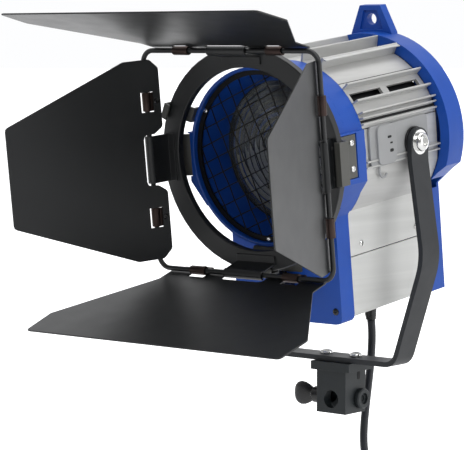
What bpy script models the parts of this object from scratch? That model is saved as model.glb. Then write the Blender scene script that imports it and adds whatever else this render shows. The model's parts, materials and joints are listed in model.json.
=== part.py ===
"""Fresnel spotlight: a tilting lamphouse in a stirrup, with a four-leaf barndoor.

Origin: middle of the lower face of the stand socket. +Z is up and the lamp shines towards -Y.
Lamphouse parts are placed from the empty "optical_axis": X across, Y back from the front face of
the accessory ring, Z up from the axis of the lens.
"""
import math

import bmesh
import bpy
from mathutils import Vector

MM = 0.001
GAP = 0.3 * MM
RUNNING = 0.3 * MM

# Stand socket and stirrup
SOCKET_W = 28.0 * MM
SOCKET_D = 26.0 * MM
SOCKET_H = 33.1 * MM
SPIGOT_R = 8.05 * MM
SOCKET_BORE_DEPTH = 30.0 * MM
LOCK_Z = 11.0 * MM
CAP_W = 37.0 * MM
CAP_D = 30.0 * MM
CAP_TOP = 40.1 * MM
STRAP_W = 22.0 * MM
STRAP_T = 4.0 * MM
BAR_Z = CAP_TOP + GAP + STRAP_T / 2
STRAP_BOLT_X = 14.2 * MM
PIVOT_Z = 213.1 * MM
ARM_X = 71.5 * MM
KINK = (83.6 * MM, 124.3 * MM)
LOWER_CORNER_X = 57.3 * MM
PIVOT_HOLE_R = 4.4 * MM
PIVOT_BOLT_R = 4.0 * MM

# Lamphouse pose and its optical axis
TILT_REST = math.radians(6.83)
RING_AHEAD = 115.0 * MM
AXIS_RISE = 2.0 * MM

# Lamphouse, in the optical axis frame
FRONT_R = 67.5 * MM
FRONT_Y = (14.0 * MM, 54.0 * MM)
EAR_X = 70.0 * MM
EAR_Z = (-21.0 * MM, 17.0 * MM)
EAR_RECESS_X = 68.0 * MM
EAR_RECESS_Z = (-17.0 * MM, 16.0 * MM)
CAVITY_X = 46.0 * MM
BOX_X = 50.0 * MM
BOX_BOTTOM = -128.5 * MM
SHELL_R = 67.5 * MM
SHELL_T = 2.4 * MM
SHELL_FLAT_X = 65.0 * MM
SHELL_Y = (FRONT_Y[1] + GAP, 149.7 * MM)
SHELL_END_ANGLE = -42.0
REAR_R = 76.5 * MM
REAR_Y = (150.0 * MM, 170.0 * MM)
REAR_VENTS = 4
REAR_VENT_TOP = 34.0 * MM
REAR_VENT_PITCH = 14.0 * MM
REAR_VENT_X = 34.0 * MM
REAR_VENT_H = 5.0 * MM
LUG_HALF_W = (19.5 * MM, 9.8 * MM)
LUG_TOP = 97.0 * MM
LUG_Y = 166.5 * MM
LUG_T = 8.0 * MM
LUG_HOLE_R = 4.5 * MM
LUG_HOLE_Z = 86.0 * MM
BRACKET_Y = (60.0 * MM, 135.0 * MM)
BRACKET_Z = (-14.0 * MM, 17.0 * MM)
COVER_X = 49.7 * MM
COVER_T = 1.5 * MM
COVER_Y = (50.3 * MM, 149.7 * MM)
COVER_BOTTOM = -126.4 * MM
SEAM_Z = -79.5 * MM
SKIRT_TOP = -47.6 * MM
LENS_R = 56.0 * MM
LENS_SEAT_R = 54.0 * MM
GUARD_R = 64.8 * MM
FOCUS_Z = -100.0 * MM
RAIL_Z = -95.0 * MM
RAIL_X = 25.0 * MM
SPINDLE_R = 3.0 * MM
LAMP_Y = 100.0 * MM
GLAND_Y = 137.0 * MM
GLAND_END = -150.0 * MM
LATCH_ANGLE = 155.0
LATCH_PIN = (71.0 * MM, 38.0 * MM)
CLIP_T = 1.5 * MM

# Fins of the shell: angle in degrees from +X, tip radius, width; mirrored to the other side
FINS = (
    (-10.8, 68.6, 1.2),
    (-7.2, 68.6, 1.2),
    (16.6, 69.5, 1.2),
    (20.4, 71.0, 1.2),
    (23.6, 72.5, 1.2),
    (31.2, 73.0, 1.4),
    (42.7, 73.5, 1.4),
    (64.5, 76.0, 1.6),
    (78.8, 76.0, 1.6),
)
VENT_ANGLE = 35.0
VENT_W = 7.6 * MM
VENT_Y = ((57.0 * MM, 96.0 * MM), (104.0 * MM, 144.0 * MM))

# Accessory ring and barndoor
RING_R = (68.5 * MM, 84.0 * MM)
RING_T = 6.2 * MM
ROD_Q = 82.8 * MM
ROD_Y = -15.1 * MM
ROD_R = 1.9 * MM
ROD_CORNER_R = 10.0 * MM
TAB_HALF = 18.0 * MM
LEAF_T = 1.2 * MM
LEAF_OFFSET = {"right": -3.1 * MM, "top": 3.1 * MM, "left": -3.1 * MM, "bottom": 3.1 * MM}
LEAF_FLANGE = 10.0 * MM
CLIP_U = 44.0 * MM
CLIP_HALF = 7.0 * MM
LEAF_SIDES = {"right": 0.0, "top": 90.0, "left": 180.0, "bottom": 270.0}
LEAF_REST = {"right": 19.7, "top": 18.4, "left": 26.6, "bottom": 12.3}

# Mains cord: its route from the gland to the coil, and the coil
CORD_R = 3.2 * MM
CORD_ROUTE = (
    (0.0, 39.5, 68.6),
    (0.0, 40.4, 62.5),
    (0.0, 40.8, 55.0),
    (0.0, 40.4, 46.0),
    (0.0, 39.4, 36.0),
    (0.0, 38.0, 26.5),
    (0.0, 36.1, 16.0),
    (0.0, 34.1, 5.5),
    (0.1, 32.2, -4.5),
    (0.3, 30.5, -14.0),
    (0.9, 29.1, -23.0),
    (2.0, 28.1, -31.5),
    (3.8, 27.5, -39.5),
    (6.5, 27.2, -47.2),
    (10.6, 27.2, -54.6),
    (16.2, 27.2, -61.3),
)
TAIL_ROUTE = (
    (29.4, 60.7, -116.0),
    (29.4, 60.7, -124.0),
    (29.4, 60.8, -132.0),
    (29.4, 60.9, -140.0),
    (29.4, 60.9, -148.0),
    (29.4, 60.8, -156.0),
    (29.4, 60.7, -164.0),
)
COIL_AT = (0.0, 40.6 * MM, -108.0 * MM)
COIL_R = (26.1 * MM, 45.9 * MM)
COIL_HALF_W = 16.5 * MM
PLUG_AT = (29.4 * MM, 60.7 * MM, -164.0 * MM)

ALONG_X = (0.0, math.pi / 2, 0.0)
ALONG_Y = (-math.pi / 2, 0.0, 0.0)
UPRIGHT = (math.pi / 2, 0.0, 0.0)
SIDEWAYS = (math.pi / 2, 0.0, math.pi / 2)
FLAT = (0.0, 0.0, 0.0)

PALETTE = {
    "blue_paint": ((0.028, 0.115, 0.52), 0.38, 0.0),
    "aluminium": ((0.70, 0.70, 0.68), 0.38, 1.0),
    "black_paint": ((0.018, 0.018, 0.019), 0.62, 0.0),
    "grey_paint": ((0.085, 0.09, 0.095), 0.5, 0.0),
    "grey_casting": ((0.33, 0.34, 0.35), 0.45, 0.8),
    "chrome": ((0.82, 0.82, 0.82), 0.12, 1.0),
    "bright_metal": ((0.55, 0.45, 0.38), 0.35, 1.0),
    "black_plastic": ((0.02, 0.02, 0.022), 0.45, 0.0),
    "rubber": ((0.022, 0.022, 0.022), 0.6, 0.0),
    "glass": ((0.86, 0.9, 0.9), 0.05, 0.0),
    "ceramic": ((0.8, 0.78, 0.72), 0.6, 0.0),
}


def clear_scene():
    for obj in list(bpy.data.objects):
        bpy.data.objects.remove(obj, do_unlink=True)


def make_collection(name):
    group = bpy.data.collections.new(name)
    bpy.context.scene.collection.children.link(group)
    return group


clear_scene()
PARTS = make_collection("fresnel_spotlight")
CUTTERS = make_collection("cutters")


def material(name):
    """The Principled material of that palette entry, made once."""
    if name in bpy.data.materials:
        return bpy.data.materials[name]
    colour, roughness, metallic = PALETTE[name]
    finish = bpy.data.materials.new(name)
    finish.use_nodes = True
    shader = finish.node_tree.nodes["Principled BSDF"]
    shader.inputs["Base Color"].default_value = (*colour, 1.0)
    shader.inputs["Roughness"].default_value = roughness
    shader.inputs["Metallic"].default_value = metallic
    if name == "glass":
        shader.inputs["Transmission Weight"].default_value = 1.0
    return finish


def empty(name, parent=None, at=(0, 0, 0), turn=FLAT):
    frame = bpy.data.objects.new(name, None)
    frame.empty_display_size = 0.02
    PARTS.objects.link(frame)
    frame.parent = parent
    frame.location = at
    frame.rotation_euler = turn
    return frame


def settle(obj, finish, parent, at, turn):
    """Link an object as a part, or as a cutter where it has no finish, and put it in place."""
    if finish is None:
        CUTTERS.objects.link(obj)
        obj.hide_render = True
        obj.display_type = "WIRE"
    else:
        PARTS.objects.link(obj)
        obj.data.materials.append(material(finish))
    obj.parent = parent
    obj.location = at
    obj.rotation_euler = turn
    return obj


def from_bmesh(name, mesh_builder, finish, parent, at, turn):
    mesh = bpy.data.meshes.new(name)
    builder = bmesh.new()
    mesh_builder(builder)
    builder.to_mesh(mesh)
    builder.free()
    return settle(bpy.data.objects.new(name, mesh), finish, parent, at, turn)


def box(name, low, high, finish=None, parent=None, turn=FLAT, at=(0, 0, 0)):
    """A box between two corners of the frame that it is placed in."""
    centre = (Vector(low) + Vector(high)) / 2
    size = Vector(high) - Vector(low)

    def build(builder):
        bmesh.ops.create_cube(builder, size=1.0)
        bmesh.ops.scale(builder, vec=size, verts=builder.verts)
        bmesh.ops.translate(builder, vec=centre, verts=builder.verts)

    return from_bmesh(name, build, finish, parent, at, turn)


def cylinder(name, radius, length, at, turn, finish=None, parent=None, sides=32, end_radius=None):
    """A cylinder, or a cone when end_radius is given, centred at a point."""
    far_radius = radius if end_radius is None else end_radius

    def build(builder):
        bmesh.ops.create_cone(
            builder, cap_ends=True, segments=sides, radius1=radius, radius2=far_radius, depth=length
        )

    obj = from_bmesh(name, build, finish, parent, at, turn)
    obj.data.shade_smooth()
    obj.data.set_sharp_from_angle(angle=math.radians(40))
    return obj


def as_mesh(curve_object, name, finish, parent, at, turn):
    """The welded mesh of a curve object, placed as the curve was; the curve is removed."""
    bpy.context.view_layer.update()
    graph = bpy.context.evaluated_depsgraph_get()
    mesh = bpy.data.meshes.new_from_object(curve_object.evaluated_get(graph))
    builder = bmesh.new()
    builder.from_mesh(mesh)
    bmesh.ops.remove_doubles(builder, verts=builder.verts, dist=1e-6)
    bmesh.ops.recalc_face_normals(builder, faces=builder.faces)
    builder.to_mesh(mesh)
    builder.free()
    mesh.materials.clear()
    mesh.name = name
    bpy.data.objects.remove(curve_object, do_unlink=True)
    return settle(bpy.data.objects.new(name, mesh), finish, parent, at, turn)


def sheet(name, loops, thickness, finish=None, parent=None, at=(0, 0, 0), turn=FLAT):
    """A flat outline with holes, thickened about its own plane."""
    curve = bpy.data.curves.new(name + "_outline", "CURVE")
    curve.dimensions = "2D"
    curve.fill_mode = "BOTH"
    curve.extrude = thickness / 2
    for loop in loops:
        spline = curve.splines.new("POLY")
        spline.points.add(len(loop) - 1)
        for point, (x, y) in zip(spline.points, loop):
            point.co = (x, y, 0.0, 1.0)
        spline.use_cyclic_u = True
    outline = settle(bpy.data.objects.new(name + "_outline", curve), None, None, (0, 0, 0), FLAT)
    return as_mesh(outline, name, finish, parent, at, turn)


def turned(name, profile, finish=None, parent=None, at=(0, 0, 0), turn=FLAT, steps=48, closed=False):
    """A profile of (radius, height) points turned about the local Z axis."""
    mesh = bpy.data.meshes.new(name)
    points = [(radius, 0.0, height) for radius, height in profile]
    edges = [(i, i + 1) for i in range(len(points) - 1)]
    if closed:
        edges.append((len(points) - 1, 0))
    mesh.from_pydata(points, edges, [])
    obj = settle(bpy.data.objects.new(name, mesh), finish, parent, at, turn)
    screw = obj.modifiers.new("turn", "SCREW")
    screw.axis = "Z"
    screw.angle = 2 * math.pi
    screw.steps = steps
    screw.render_steps = steps
    screw.use_merge_vertices = True
    screw.merge_threshold = 0.00001
    return obj


def tube(name, points, radius, finish, parent=None, closed=False):
    """A round rod along a line of points."""
    curve = bpy.data.curves.new(name, "CURVE")
    curve.dimensions = "3D"
    curve.bevel_depth = radius
    curve.bevel_resolution = 2
    curve.use_fill_caps = not closed
    spline = curve.splines.new("POLY")
    spline.points.add(len(points) - 1)
    for point, place in zip(spline.points, points):
        point.co = (*place, 1.0)
    spline.use_cyclic_u = closed
    return settle(bpy.data.objects.new(name, curve), finish, parent, (0, 0, 0), FLAT)


def boolean(target, tool, operation):
    modifier = target.modifiers.new(tool.name, "BOOLEAN")
    modifier.operation = operation
    modifier.solver = "EXACT"
    modifier.object = tool


def cut(target, *tools):
    for tool in tools:
        boolean(target, tool, "DIFFERENCE")


def join(target, *tools):
    for tool in tools:
        boolean(target, tool, "UNION")


def arc(centre, radius, start, end, steps):
    """Points on an arc, angles in degrees, both ends included."""
    angles = [math.radians(start + (end - start) * i / steps) for i in range(steps + 1)]
    return [(centre[0] + radius * math.cos(a), centre[1] + radius * math.sin(a)) for a in angles]


def circle(radius, steps=48, centre=(0.0, 0.0)):
    return arc(centre, radius, 0.0, 360.0, steps)[:-1]


def rectangle(low_x, low_y, high_x, high_y):
    return [(low_x, low_y), (high_x, low_y), (high_x, high_y), (low_x, high_y)]


def chamfered(inner, outer, low, high, chamfer):
    """Profile of a ring with chamfered edges, for turned, down its outer side first."""
    return [
        (outer, high - chamfer), (outer, low + chamfer),
        (outer - chamfer, low), (inner + chamfer, low),
        (inner, low + chamfer), (inner, high - chamfer),
        (inner + chamfer, high), (outer - chamfer, high),
    ]


def filleted(points, radius, steps=6, closed=False):
    """A path whose inner corners are rounded with quadratic curves of about the given radius."""
    count = len(points)
    rounded = []
    for i, corner in enumerate(points):
        if not closed and i in (0, count - 1):
            rounded.append(corner)
            continue
        corner = Vector(corner)
        before = Vector(points[i - 1]) - corner
        after = Vector(points[(i + 1) % count]) - corner
        turn = math.pi - before.angle(after)
        reach = min(radius * math.tan(turn / 2), before.length * 0.45, after.length * 0.45)
        start = corner + before.normalized() * reach
        end = corner + after.normalized() * reach
        for step in range(steps + 1):
            t = step / steps
            place = (1 - t) ** 2 * start + 2 * t * (1 - t) * corner + t**2 * end
            rounded.append(tuple(place))
    return rounded


def strip(path, thickness):
    """The outline of a bent strip that follows a path."""
    sides = ([], [])
    for i, point in enumerate(path):
        before = Vector(path[max(i - 1, 0)])
        after = Vector(path[min(i + 1, len(path) - 1)])
        here = Vector(point)
        into = (here - before).normalized() if i else (after - here).normalized()
        out = (after - here).normalized() if i < len(path) - 1 else into
        along = (into + out).normalized()
        normal = Vector((-along.y, along.x)) / max(along.dot(into), 0.3)
        sides[0].append(tuple(here + normal * thickness / 2))
        sides[1].append(tuple(here - normal * thickness / 2))
    return sides[0] + sides[1][::-1]


def mirrored(path):
    """A path that ends near X = 0, continued with its mirror image."""
    return path + [(-x, y) for x, y in reversed(path)]


def smooth_route(points, per_span):
    """A Catmull-Rom curve through points, in metres."""
    padded = [points[0], *points, points[-1]]
    route = []
    for i in range(1, len(padded) - 2):
        a, b, c, d = (Vector(p) for p in padded[i - 1 : i + 3])
        for step in range(per_span):
            t = step / per_span
            route.append(
                0.5 * (2 * b + (c - a) * t + (2 * a - 5 * b + 4 * c - d) * t**2
                       + (3 * b - a - 3 * c + d) * t**3)
            )
    route.append(Vector(points[-1]))
    return route


# Stirrup and stand socket


def make_socket():
    block = box(
        "socket_block", (-SOCKET_W / 2, -SOCKET_D / 2, 0), (SOCKET_W / 2, SOCKET_D / 2, SOCKET_H),
        "black_paint",
    )
    bore_length = SOCKET_BORE_DEPTH + MM
    cut(
        block,
        cylinder("spigot_bore", SPIGOT_R, bore_length, (0, 0, bore_length / 2 - MM), FLAT, sides=40),
        cylinder("front_hole", 7 * MM, 14 * MM, (0, -10 * MM, LOCK_Z), UPRIGHT),
        cylinder("lock_hole", 4.3 * MM, 10 * MM, (-11 * MM, 0, LOCK_Z), ALONG_X),
        cylinder("clamp_hole", 3.3 * MM, 6 * MM, (13 * MM, 6 * MM, LOCK_Z), ALONG_X),
    )
    cap = box(
        "cap_plate", (-CAP_W / 2, -CAP_D / 2, SOCKET_H + GAP), (CAP_W / 2, CAP_D / 2, CAP_TOP),
        "black_paint",
    )
    for side in (-1, 1):
        at = (side * STRAP_BOLT_X, 0, CAP_TOP)
        cut(cap, cylinder("cap_hole", 2.8 * MM, 8 * MM, at, FLAT, sides=16))
    screw = cylinder(
        "clamp_screw", 8 * MM, 4 * MM, (SOCKET_W / 2 + 2.3 * MM, 6 * MM, LOCK_Z), ALONG_X,
        "black_paint", sides=24,
    )
    shank = cylinder("clamp_shank", 3 * MM, 6 * MM, (13.5 * MM, 6 * MM, LOCK_Z), ALONG_X, sides=16)
    join(screw, shank)
    key_at = (SOCKET_W / 2 + 4.5 * MM, 6 * MM, LOCK_Z)
    cut(screw, cylinder("clamp_key", 3.4 * MM, 4 * MM, key_at, ALONG_X, sides=6))


def stirrup_path():
    half = [
        (ARM_X, PIVOT_Z + STRAP_W / 2),
        (ARM_X, PIVOT_Z - 13 * MM),
        KINK,
        (LOWER_CORNER_X, BAR_Z),
        (0.3 * LOWER_CORNER_X, BAR_Z),
    ]
    rounded = [half[0], *filleted(half[:3], 40 * MM)[1:-1]]
    rounded += filleted([half[1], half[2], half[3]], 55 * MM)[1:-1]
    rounded += filleted([half[2], half[3], half[4]], 12 * MM)[1:-1]
    return mirrored(rounded)


def make_stirrup():
    strap = sheet("stirrup", [strip(stirrup_path(), STRAP_T)], STRAP_W, "grey_paint", turn=UPRIGHT)
    half = STRAP_W / 2
    crown = [(-half - MM, 0), (-half - MM, half + 2 * MM), (half + MM, half + 2 * MM), (half + MM, 0)]
    crown += arc((0, 0), half + 0.02 * MM, 0, 180, 16)
    for side in (-1, 1):
        at = (side * ARM_X, 0, PIVOT_Z)
        cut(strap, sheet("arm_crown", [crown], 3 * STRAP_T, at=at, turn=SIDEWAYS))
        cut(strap, cylinder("arm_hole", PIVOT_HOLE_R, 3 * STRAP_T, at, ALONG_X, sides=24))
        at = (side * STRAP_BOLT_X, 0, BAR_Z)
        cut(strap, cylinder("bar_hole", 2.8 * MM, 3 * STRAP_T, at, FLAT, sides=16))
        word = "left" if side < 0 else "right"
        head_z = BAR_Z + STRAP_T / 2 + GAP + 1.6 * MM
        bolt = cylinder(
            "strap_bolt_" + word, 5 * MM, 3.2 * MM, (side * STRAP_BOLT_X, 0, head_z), FLAT,
            "chrome", sides=24, end_radius=4.2 * MM,
        )
        shank_at = (at[0], 0, head_z - 4 * MM)
        join(bolt, cylinder("bolt_shank", 2.5 * MM, 9 * MM, shank_at, FLAT, sides=16))


def make_lock_handle():
    """Wing screw that clamps the stand's spigot. Its joint is along X."""
    hinge = empty("lock_axis", at=(-SOCKET_W / 2, 0, LOCK_Z))
    hub = cylinder(
        "lock_handle", 6.5 * MM, 12 * MM, (-6.4 * MM, 0, 0), ALONG_X, "black_plastic", hinge, 24
    )
    stud = cylinder("lock_stud", 4 * MM, 8 * MM, (2 * MM, 0, 0), ALONG_X, parent=hinge, sides=16)
    wing_outline = filleted(rectangle(-32 * MM, -9.5 * MM, -9 * MM, 9.5 * MM), 4 * MM, 3, True)
    wing = sheet("lock_wing", [wing_outline], 6 * MM, parent=hinge, turn=UPRIGHT)
    join(hub, stud, wing)


# Lamphouse


def ear_outline(side):
    points = [(58 * MM, EAR_Z[1]), (EAR_X, EAR_Z[1]), (EAR_X, EAR_Z[0]), (56 * MM, -39.2 * MM)]
    return [(side * x, z) for x, z in points]


def front_silhouette():
    """Round top, an ear on each side, and the narrower box below."""
    start = math.degrees(math.asin(EAR_Z[1] / FRONT_R))
    corner = filleted([(0, BOX_BOTTOM), (BOX_X, BOX_BOTTOM), (BOX_X, -60 * MM)], 6 * MM, 3)[1:-1]
    right = corner + [(BOX_X, -47 * MM), (EAR_X, EAR_Z[0]), (EAR_X, EAR_Z[1])]
    left = [(-x, z) for x, z in reversed(right)]
    return right + arc((0, 0), FRONT_R, start, 180 - start, 36) + left


def make_front_casting(axis):
    plate_y = (34 * MM, 50 * MM)
    casting = sheet(
        "front_casting", [front_silhouette()], plate_y[1] - plate_y[0], "blue_paint", axis,
        (0, sum(plate_y) / 2, 0), UPRIGHT,
    )
    length = FRONT_Y[1] - FRONT_Y[0]
    middle = (0, sum(FRONT_Y) / 2, 0)
    join(casting, cylinder("bezel", FRONT_R, length, middle, ALONG_Y, parent=axis, sides=60))
    for side in (-1, 1):
        at = (0, (FRONT_Y[0] + 45 * MM) / 2, 0)
        join(casting, sheet("ear", [ear_outline(side)], 45 * MM - FRONT_Y[0], None, axis, at, UPRIGHT))
        edges = sorted((side * EAR_RECESS_X, side * 75 * MM))
        low = (edges[0], 13 * MM, EAR_RECESS_Z[0])
        high = (edges[1], 40 * MM, EAR_RECESS_Z[1])
        cut(casting, box("ear_recess", low, high, parent=axis))
    recess = [
        (0, 56 * MM), (LENS_R + 0.4 * MM, 56 * MM), (LENS_R + 0.4 * MM, 42 * MM),
        (LENS_SEAT_R, 42 * MM), (LENS_SEAT_R, 40 * MM), (61 * MM, 21 * MM),
        (GUARD_R + GAP, 21 * MM), (GUARD_R + GAP, 13 * MM), (0, 13 * MM),
    ]
    cut(casting, turned("lens_recess", recess, parent=axis, turn=ALONG_Y, steps=48))
    low = (-CAVITY_X, 37 * MM, -125 * MM)
    high = (CAVITY_X, 52 * MM, -60 * MM)
    cut(casting, box("lower_cavity", low, high, parent=axis))
    at = (0, 36 * MM, FOCUS_Z)
    hole_r = SPINDLE_R + RUNNING
    cut(casting, cylinder("front_spindle_hole", hole_r, 8 * MM, at, ALONG_Y, parent=axis, sides=16))


def shell_outer():
    """Right half of the shell's outer profile, from the lower edge up to the top."""
    events = []
    for angle, tip, width in FINS:
        half = math.degrees(width * MM / 2 / SHELL_R)
        base = shell_radius(angle, SHELL_FLAT_X)
        events += [(angle - half, base), (angle - half, tip * MM)]
        events += [(angle + half, tip * MM), (angle + half, base)]
    taken = [(angle - 2, angle + 2) for angle, _, _ in FINS]
    for angle in range(int(SHELL_END_ANGLE), 91, 6):
        if not any(low < angle < high for low, high in taken):
            events.append((float(angle), shell_radius(angle, SHELL_FLAT_X)))
    events.sort(key=lambda event: event[0])
    return [(r * math.cos(math.radians(a)), r * math.sin(math.radians(a))) for a, r in events]


def shell_radius(angle, flat_x, radius=SHELL_R):
    """Radius of the shell's skin, which is flat at both sides."""
    cosine = math.cos(math.radians(angle))
    return min(radius, flat_x / cosine) if cosine > 0.1 else radius


def make_shell(axis):
    inner_r = SHELL_R - SHELL_T
    inner_x = SHELL_FLAT_X - SHELL_T
    inner = []
    for angle in range(90, int(SHELL_END_ANGLE) - 1, -6):
        radius = shell_radius(angle, inner_x, inner_r)
        inner.append((radius * math.cos(math.radians(angle)), radius * math.sin(math.radians(angle))))
    outer = [point for point in shell_outer() if point[0] > MM]
    right_inner = [point for point in inner if point[0] > MM]
    outer += [(-x, z) for x, z in reversed(outer)]
    loop = outer + [(-x, z) for x, z in reversed(right_inner)] + right_inner
    shell = sheet(
        "shell", [loop], SHELL_Y[1] - SHELL_Y[0], "aluminium", axis, (0, sum(SHELL_Y) / 2, 0), UPRIGHT
    )
    for side in (-1, 1):
        for low, high in VENT_Y:
            angle = math.radians(VENT_ANGLE if side > 0 else 180 - VENT_ANGLE)
            corners = ((60 * MM, low, -VENT_W / 2), (74 * MM, high, VENT_W / 2))
            cut(shell, box("vent", *corners, parent=axis, turn=(0, -angle, 0)))
        edges = sorted((side * SHELL_FLAT_X, side * 75 * MM))
        low = (edges[0], BRACKET_Y[0] - MM, BRACKET_Z[0] - MM)
        high = (edges[1], BRACKET_Y[1] + MM, BRACKET_Z[1] + MM)
        cut(shell, box("bracket_seat", low, high, parent=axis))
        at = (side * 63 * MM, RING_AHEAD, -AXIS_RISE)
        hole = cylinder("shell_pivot_hole", PIVOT_HOLE_R, 12 * MM, at, ALONG_X, parent=axis, sides=24)
        cut(shell, hole)


def make_rear_casting(axis):
    half = [(BOX_X, BOX_BOTTOM + 1.5 * MM), (BOX_X, -43 * MM), (64 * MM, -31.5 * MM)]
    loop = half + arc((0, 0), REAR_R, -20, 200, 48) + [(-x, z) for x, z in reversed(half)]
    middle = (0, sum(REAR_Y) / 2, 0)
    casting = sheet(
        "rear_casting", [loop], REAR_Y[1] - REAR_Y[0], "blue_paint", axis, middle, UPRIGHT
    )
    foot, tip = LUG_HALF_W
    lug = [(foot, 70 * MM), (foot, 75 * MM), (tip, LUG_TOP)]
    lug += [(-x, z) for x, z in reversed(lug)]
    join(casting, sheet("lug", [lug], LUG_T, None, axis, (0, LUG_Y, 0), UPRIGHT))
    back_wall = REAR_Y[1] - 3 * MM
    depth = back_wall - REAR_Y[0] + MM
    middle = (0, back_wall - depth / 2, 0)
    low = (-CAVITY_X, REAR_Y[0] - MM, -124 * MM)
    high = (CAVITY_X, back_wall, -30 * MM)
    hole_at = (0, LUG_Y, LUG_HOLE_Z)
    spindle_at = (0, 168 * MM, FOCUS_Z)
    hole_r = SPINDLE_R + RUNNING
    cut(
        casting,
        cylinder("rear_cavity", 68 * MM, depth, middle, ALONG_Y, parent=axis, sides=64),
        box("rear_lower_cavity", low, high, parent=axis),
        cylinder("lug_hole", LUG_HOLE_R, 20 * MM, hole_at, ALONG_Y, parent=axis, sides=20),
        cylinder("rear_spindle_hole", hole_r, 9 * MM, spindle_at, ALONG_Y, parent=axis, sides=16),
    )
    for row in range(REAR_VENTS):
        height = REAR_VENT_TOP - row * REAR_VENT_PITCH
        low = (-REAR_VENT_X, 160 * MM, height)
        high = (REAR_VENT_X, 175 * MM, height + REAR_VENT_H)
        cut(casting, box("rear_vent", low, high, parent=axis))


def make_covers(axis):
    wall_x = COVER_X - COVER_T / 2
    floor_z = COVER_BOTTOM + COVER_T / 2
    top = (wall_x, SEAM_Z - 0.6 * MM)
    path = [top, *filleted([top, (wall_x, floor_z), (0, floor_z)], 5 * MM, 3)[1:-1]]
    outline = strip(mirrored(path), COVER_T)
    length = COVER_Y[1] - COVER_Y[0]
    middle = (0, sum(COVER_Y) / 2, 0)
    cover = sheet("lower_cover", [outline], length, "aluminium", axis, middle, UPRIGHT)
    gland_at = (0, GLAND_Y, COVER_BOTTOM)
    cut(cover, cylinder("gland_hole", 6.5 * MM, 8 * MM, gland_at, FLAT, parent=axis, sides=20))
    for side, word in ((-1, "left"), (1, "right")):
        edges = sorted((side * COVER_X, side * (COVER_X - COVER_T)))
        low = (edges[0], COVER_Y[0], SEAM_Z)
        high = (edges[1], COVER_Y[1], SKIRT_TOP)
        box("side_skirt_" + word, low, high, "aluminium", axis)


def make_pivots(axis, tilt):
    for side, word in ((-1, "left"), (1, "right")):
        pivot = (0, RING_AHEAD, -AXIS_RISE)
        plate = rectangle(BRACKET_Y[0], BRACKET_Z[0], BRACKET_Y[1], BRACKET_Z[1])
        outline = filleted(plate, 4 * MM, 3, True)
        bracket = sheet("pivot_bracket_" + word, [outline], 1.9 * MM, "grey_casting", axis,
                        (side * 66.25 * MM, 0, 0), SIDEWAYS)
        block = filleted(rectangle(67.5 * MM, -13 * MM, 90.5 * MM, 16.3 * MM), 5 * MM, 3, True)
        block_at = (side * 67.8 * MM, 0, 0)
        join(bracket, sheet("bracket_block", [block], 3 * MM, None, axis, block_at, SIDEWAYS))
        at = (side * 66 * MM, pivot[1], pivot[2])
        cut(bracket, cylinder("bracket_hole", PIVOT_HOLE_R, 8 * MM, at, ALONG_X, parent=axis, sides=24))
        ring = [circle(12 * MM, 28), circle(PIVOT_HOLE_R, 20)]
        at = (side * 68.35 * MM, pivot[1], pivot[2])
        sheet("friction_washer_" + word, ring, 1.7 * MM, "black_plastic", axis, at, SIDEWAYS)
    head_x = ARM_X + STRAP_T / 2 + GAP
    head_at = (head_x + 2.5 * MM, 0, 0)
    shank_at = (head_x - 6 * MM, 0, 0)
    bolt = cylinder("pivot_bolt", 7.4 * MM, 5 * MM, head_at, ALONG_X, "chrome", tilt, 24)
    join(bolt, cylinder("pivot_shank", PIVOT_BOLT_R, 16 * MM, shank_at, ALONG_X, parent=tilt, sides=20))
    key_at = (head_x + 5 * MM, 0, 0)
    cut(bolt, cylinder("pivot_key", 4 * MM, 5 * MM, key_at, ALONG_X, parent=tilt, sides=6))
    cylinder("tilt_stud", PIVOT_BOLT_R, 26 * MM, (-head_x + MM, 0, 0), ALONG_X, "chrome", tilt, 20)


def make_tilt_lever(tilt):
    """Clamping lever on the left pivot. Its joint is the pivot's own axis."""
    hub_x = -(ARM_X + STRAP_T / 2 + GAP)
    hub_at = (hub_x - 8 * MM, 0, 0)
    hub = cylinder("tilt_lock_lever", 10 * MM, 16 * MM, hub_at, ALONG_X, "black_plastic", tilt, 28)
    start = Vector((hub_x - 9 * MM, 0, 0))
    end = Vector((hub_x - 38 * MM, -24 * MM, -56 * MM))
    along = end - start
    turn = along.to_track_quat("Z", "Y").to_euler()
    arm = cylinder(
        "lever_arm", 6 * MM, along.length, (start + end) / 2, turn, parent=tilt, sides=20,
        end_radius=7.5 * MM,
    )
    join(hub, arm)
    at = (hub_x - MM, 0, 0)
    cut(hub, cylinder("lever_hole", PIVOT_HOLE_R, 26 * MM, at, ALONG_X, parent=tilt, sides=20))


def bracket_path(base_r, back_y, lip_y):
    """Side view (radius, Y) of a clip that reaches from the casting over the accessory ring."""
    return [
        (base_r, back_y),
        (base_r, 15 * MM),
        (85.2 * MM, 7.6 * MM),
        (85.2 * MM, lip_y),
        (80.9 * MM, lip_y),
    ]


def spoke(name, axis, angle):
    """An empty whose local X points outwards from the optical axis, at an angle from +X."""
    return empty(name, axis, turn=(0, -math.radians(angle), 0))


def make_accessory_clips(axis):
    clips = (
        ("right", 0.0, 69.05, 39, 32, -0.5),
        ("left", 180.0, 69.05, 39, 32, 0.5),
        ("lower", 270.0, 68.55, 32, 28, 0.0),
    )
    for word, angle, base, back, width, shift in clips:
        outline = strip(bracket_path(base * MM, back * MM, -1.15 * MM), CLIP_T)
        frame = spoke("clip_frame_" + word, axis, angle)
        at = (0, 0, shift * MM)
        sheet("accessory_clip_" + word, [outline], width * MM, "grey_paint", frame, at)


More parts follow.
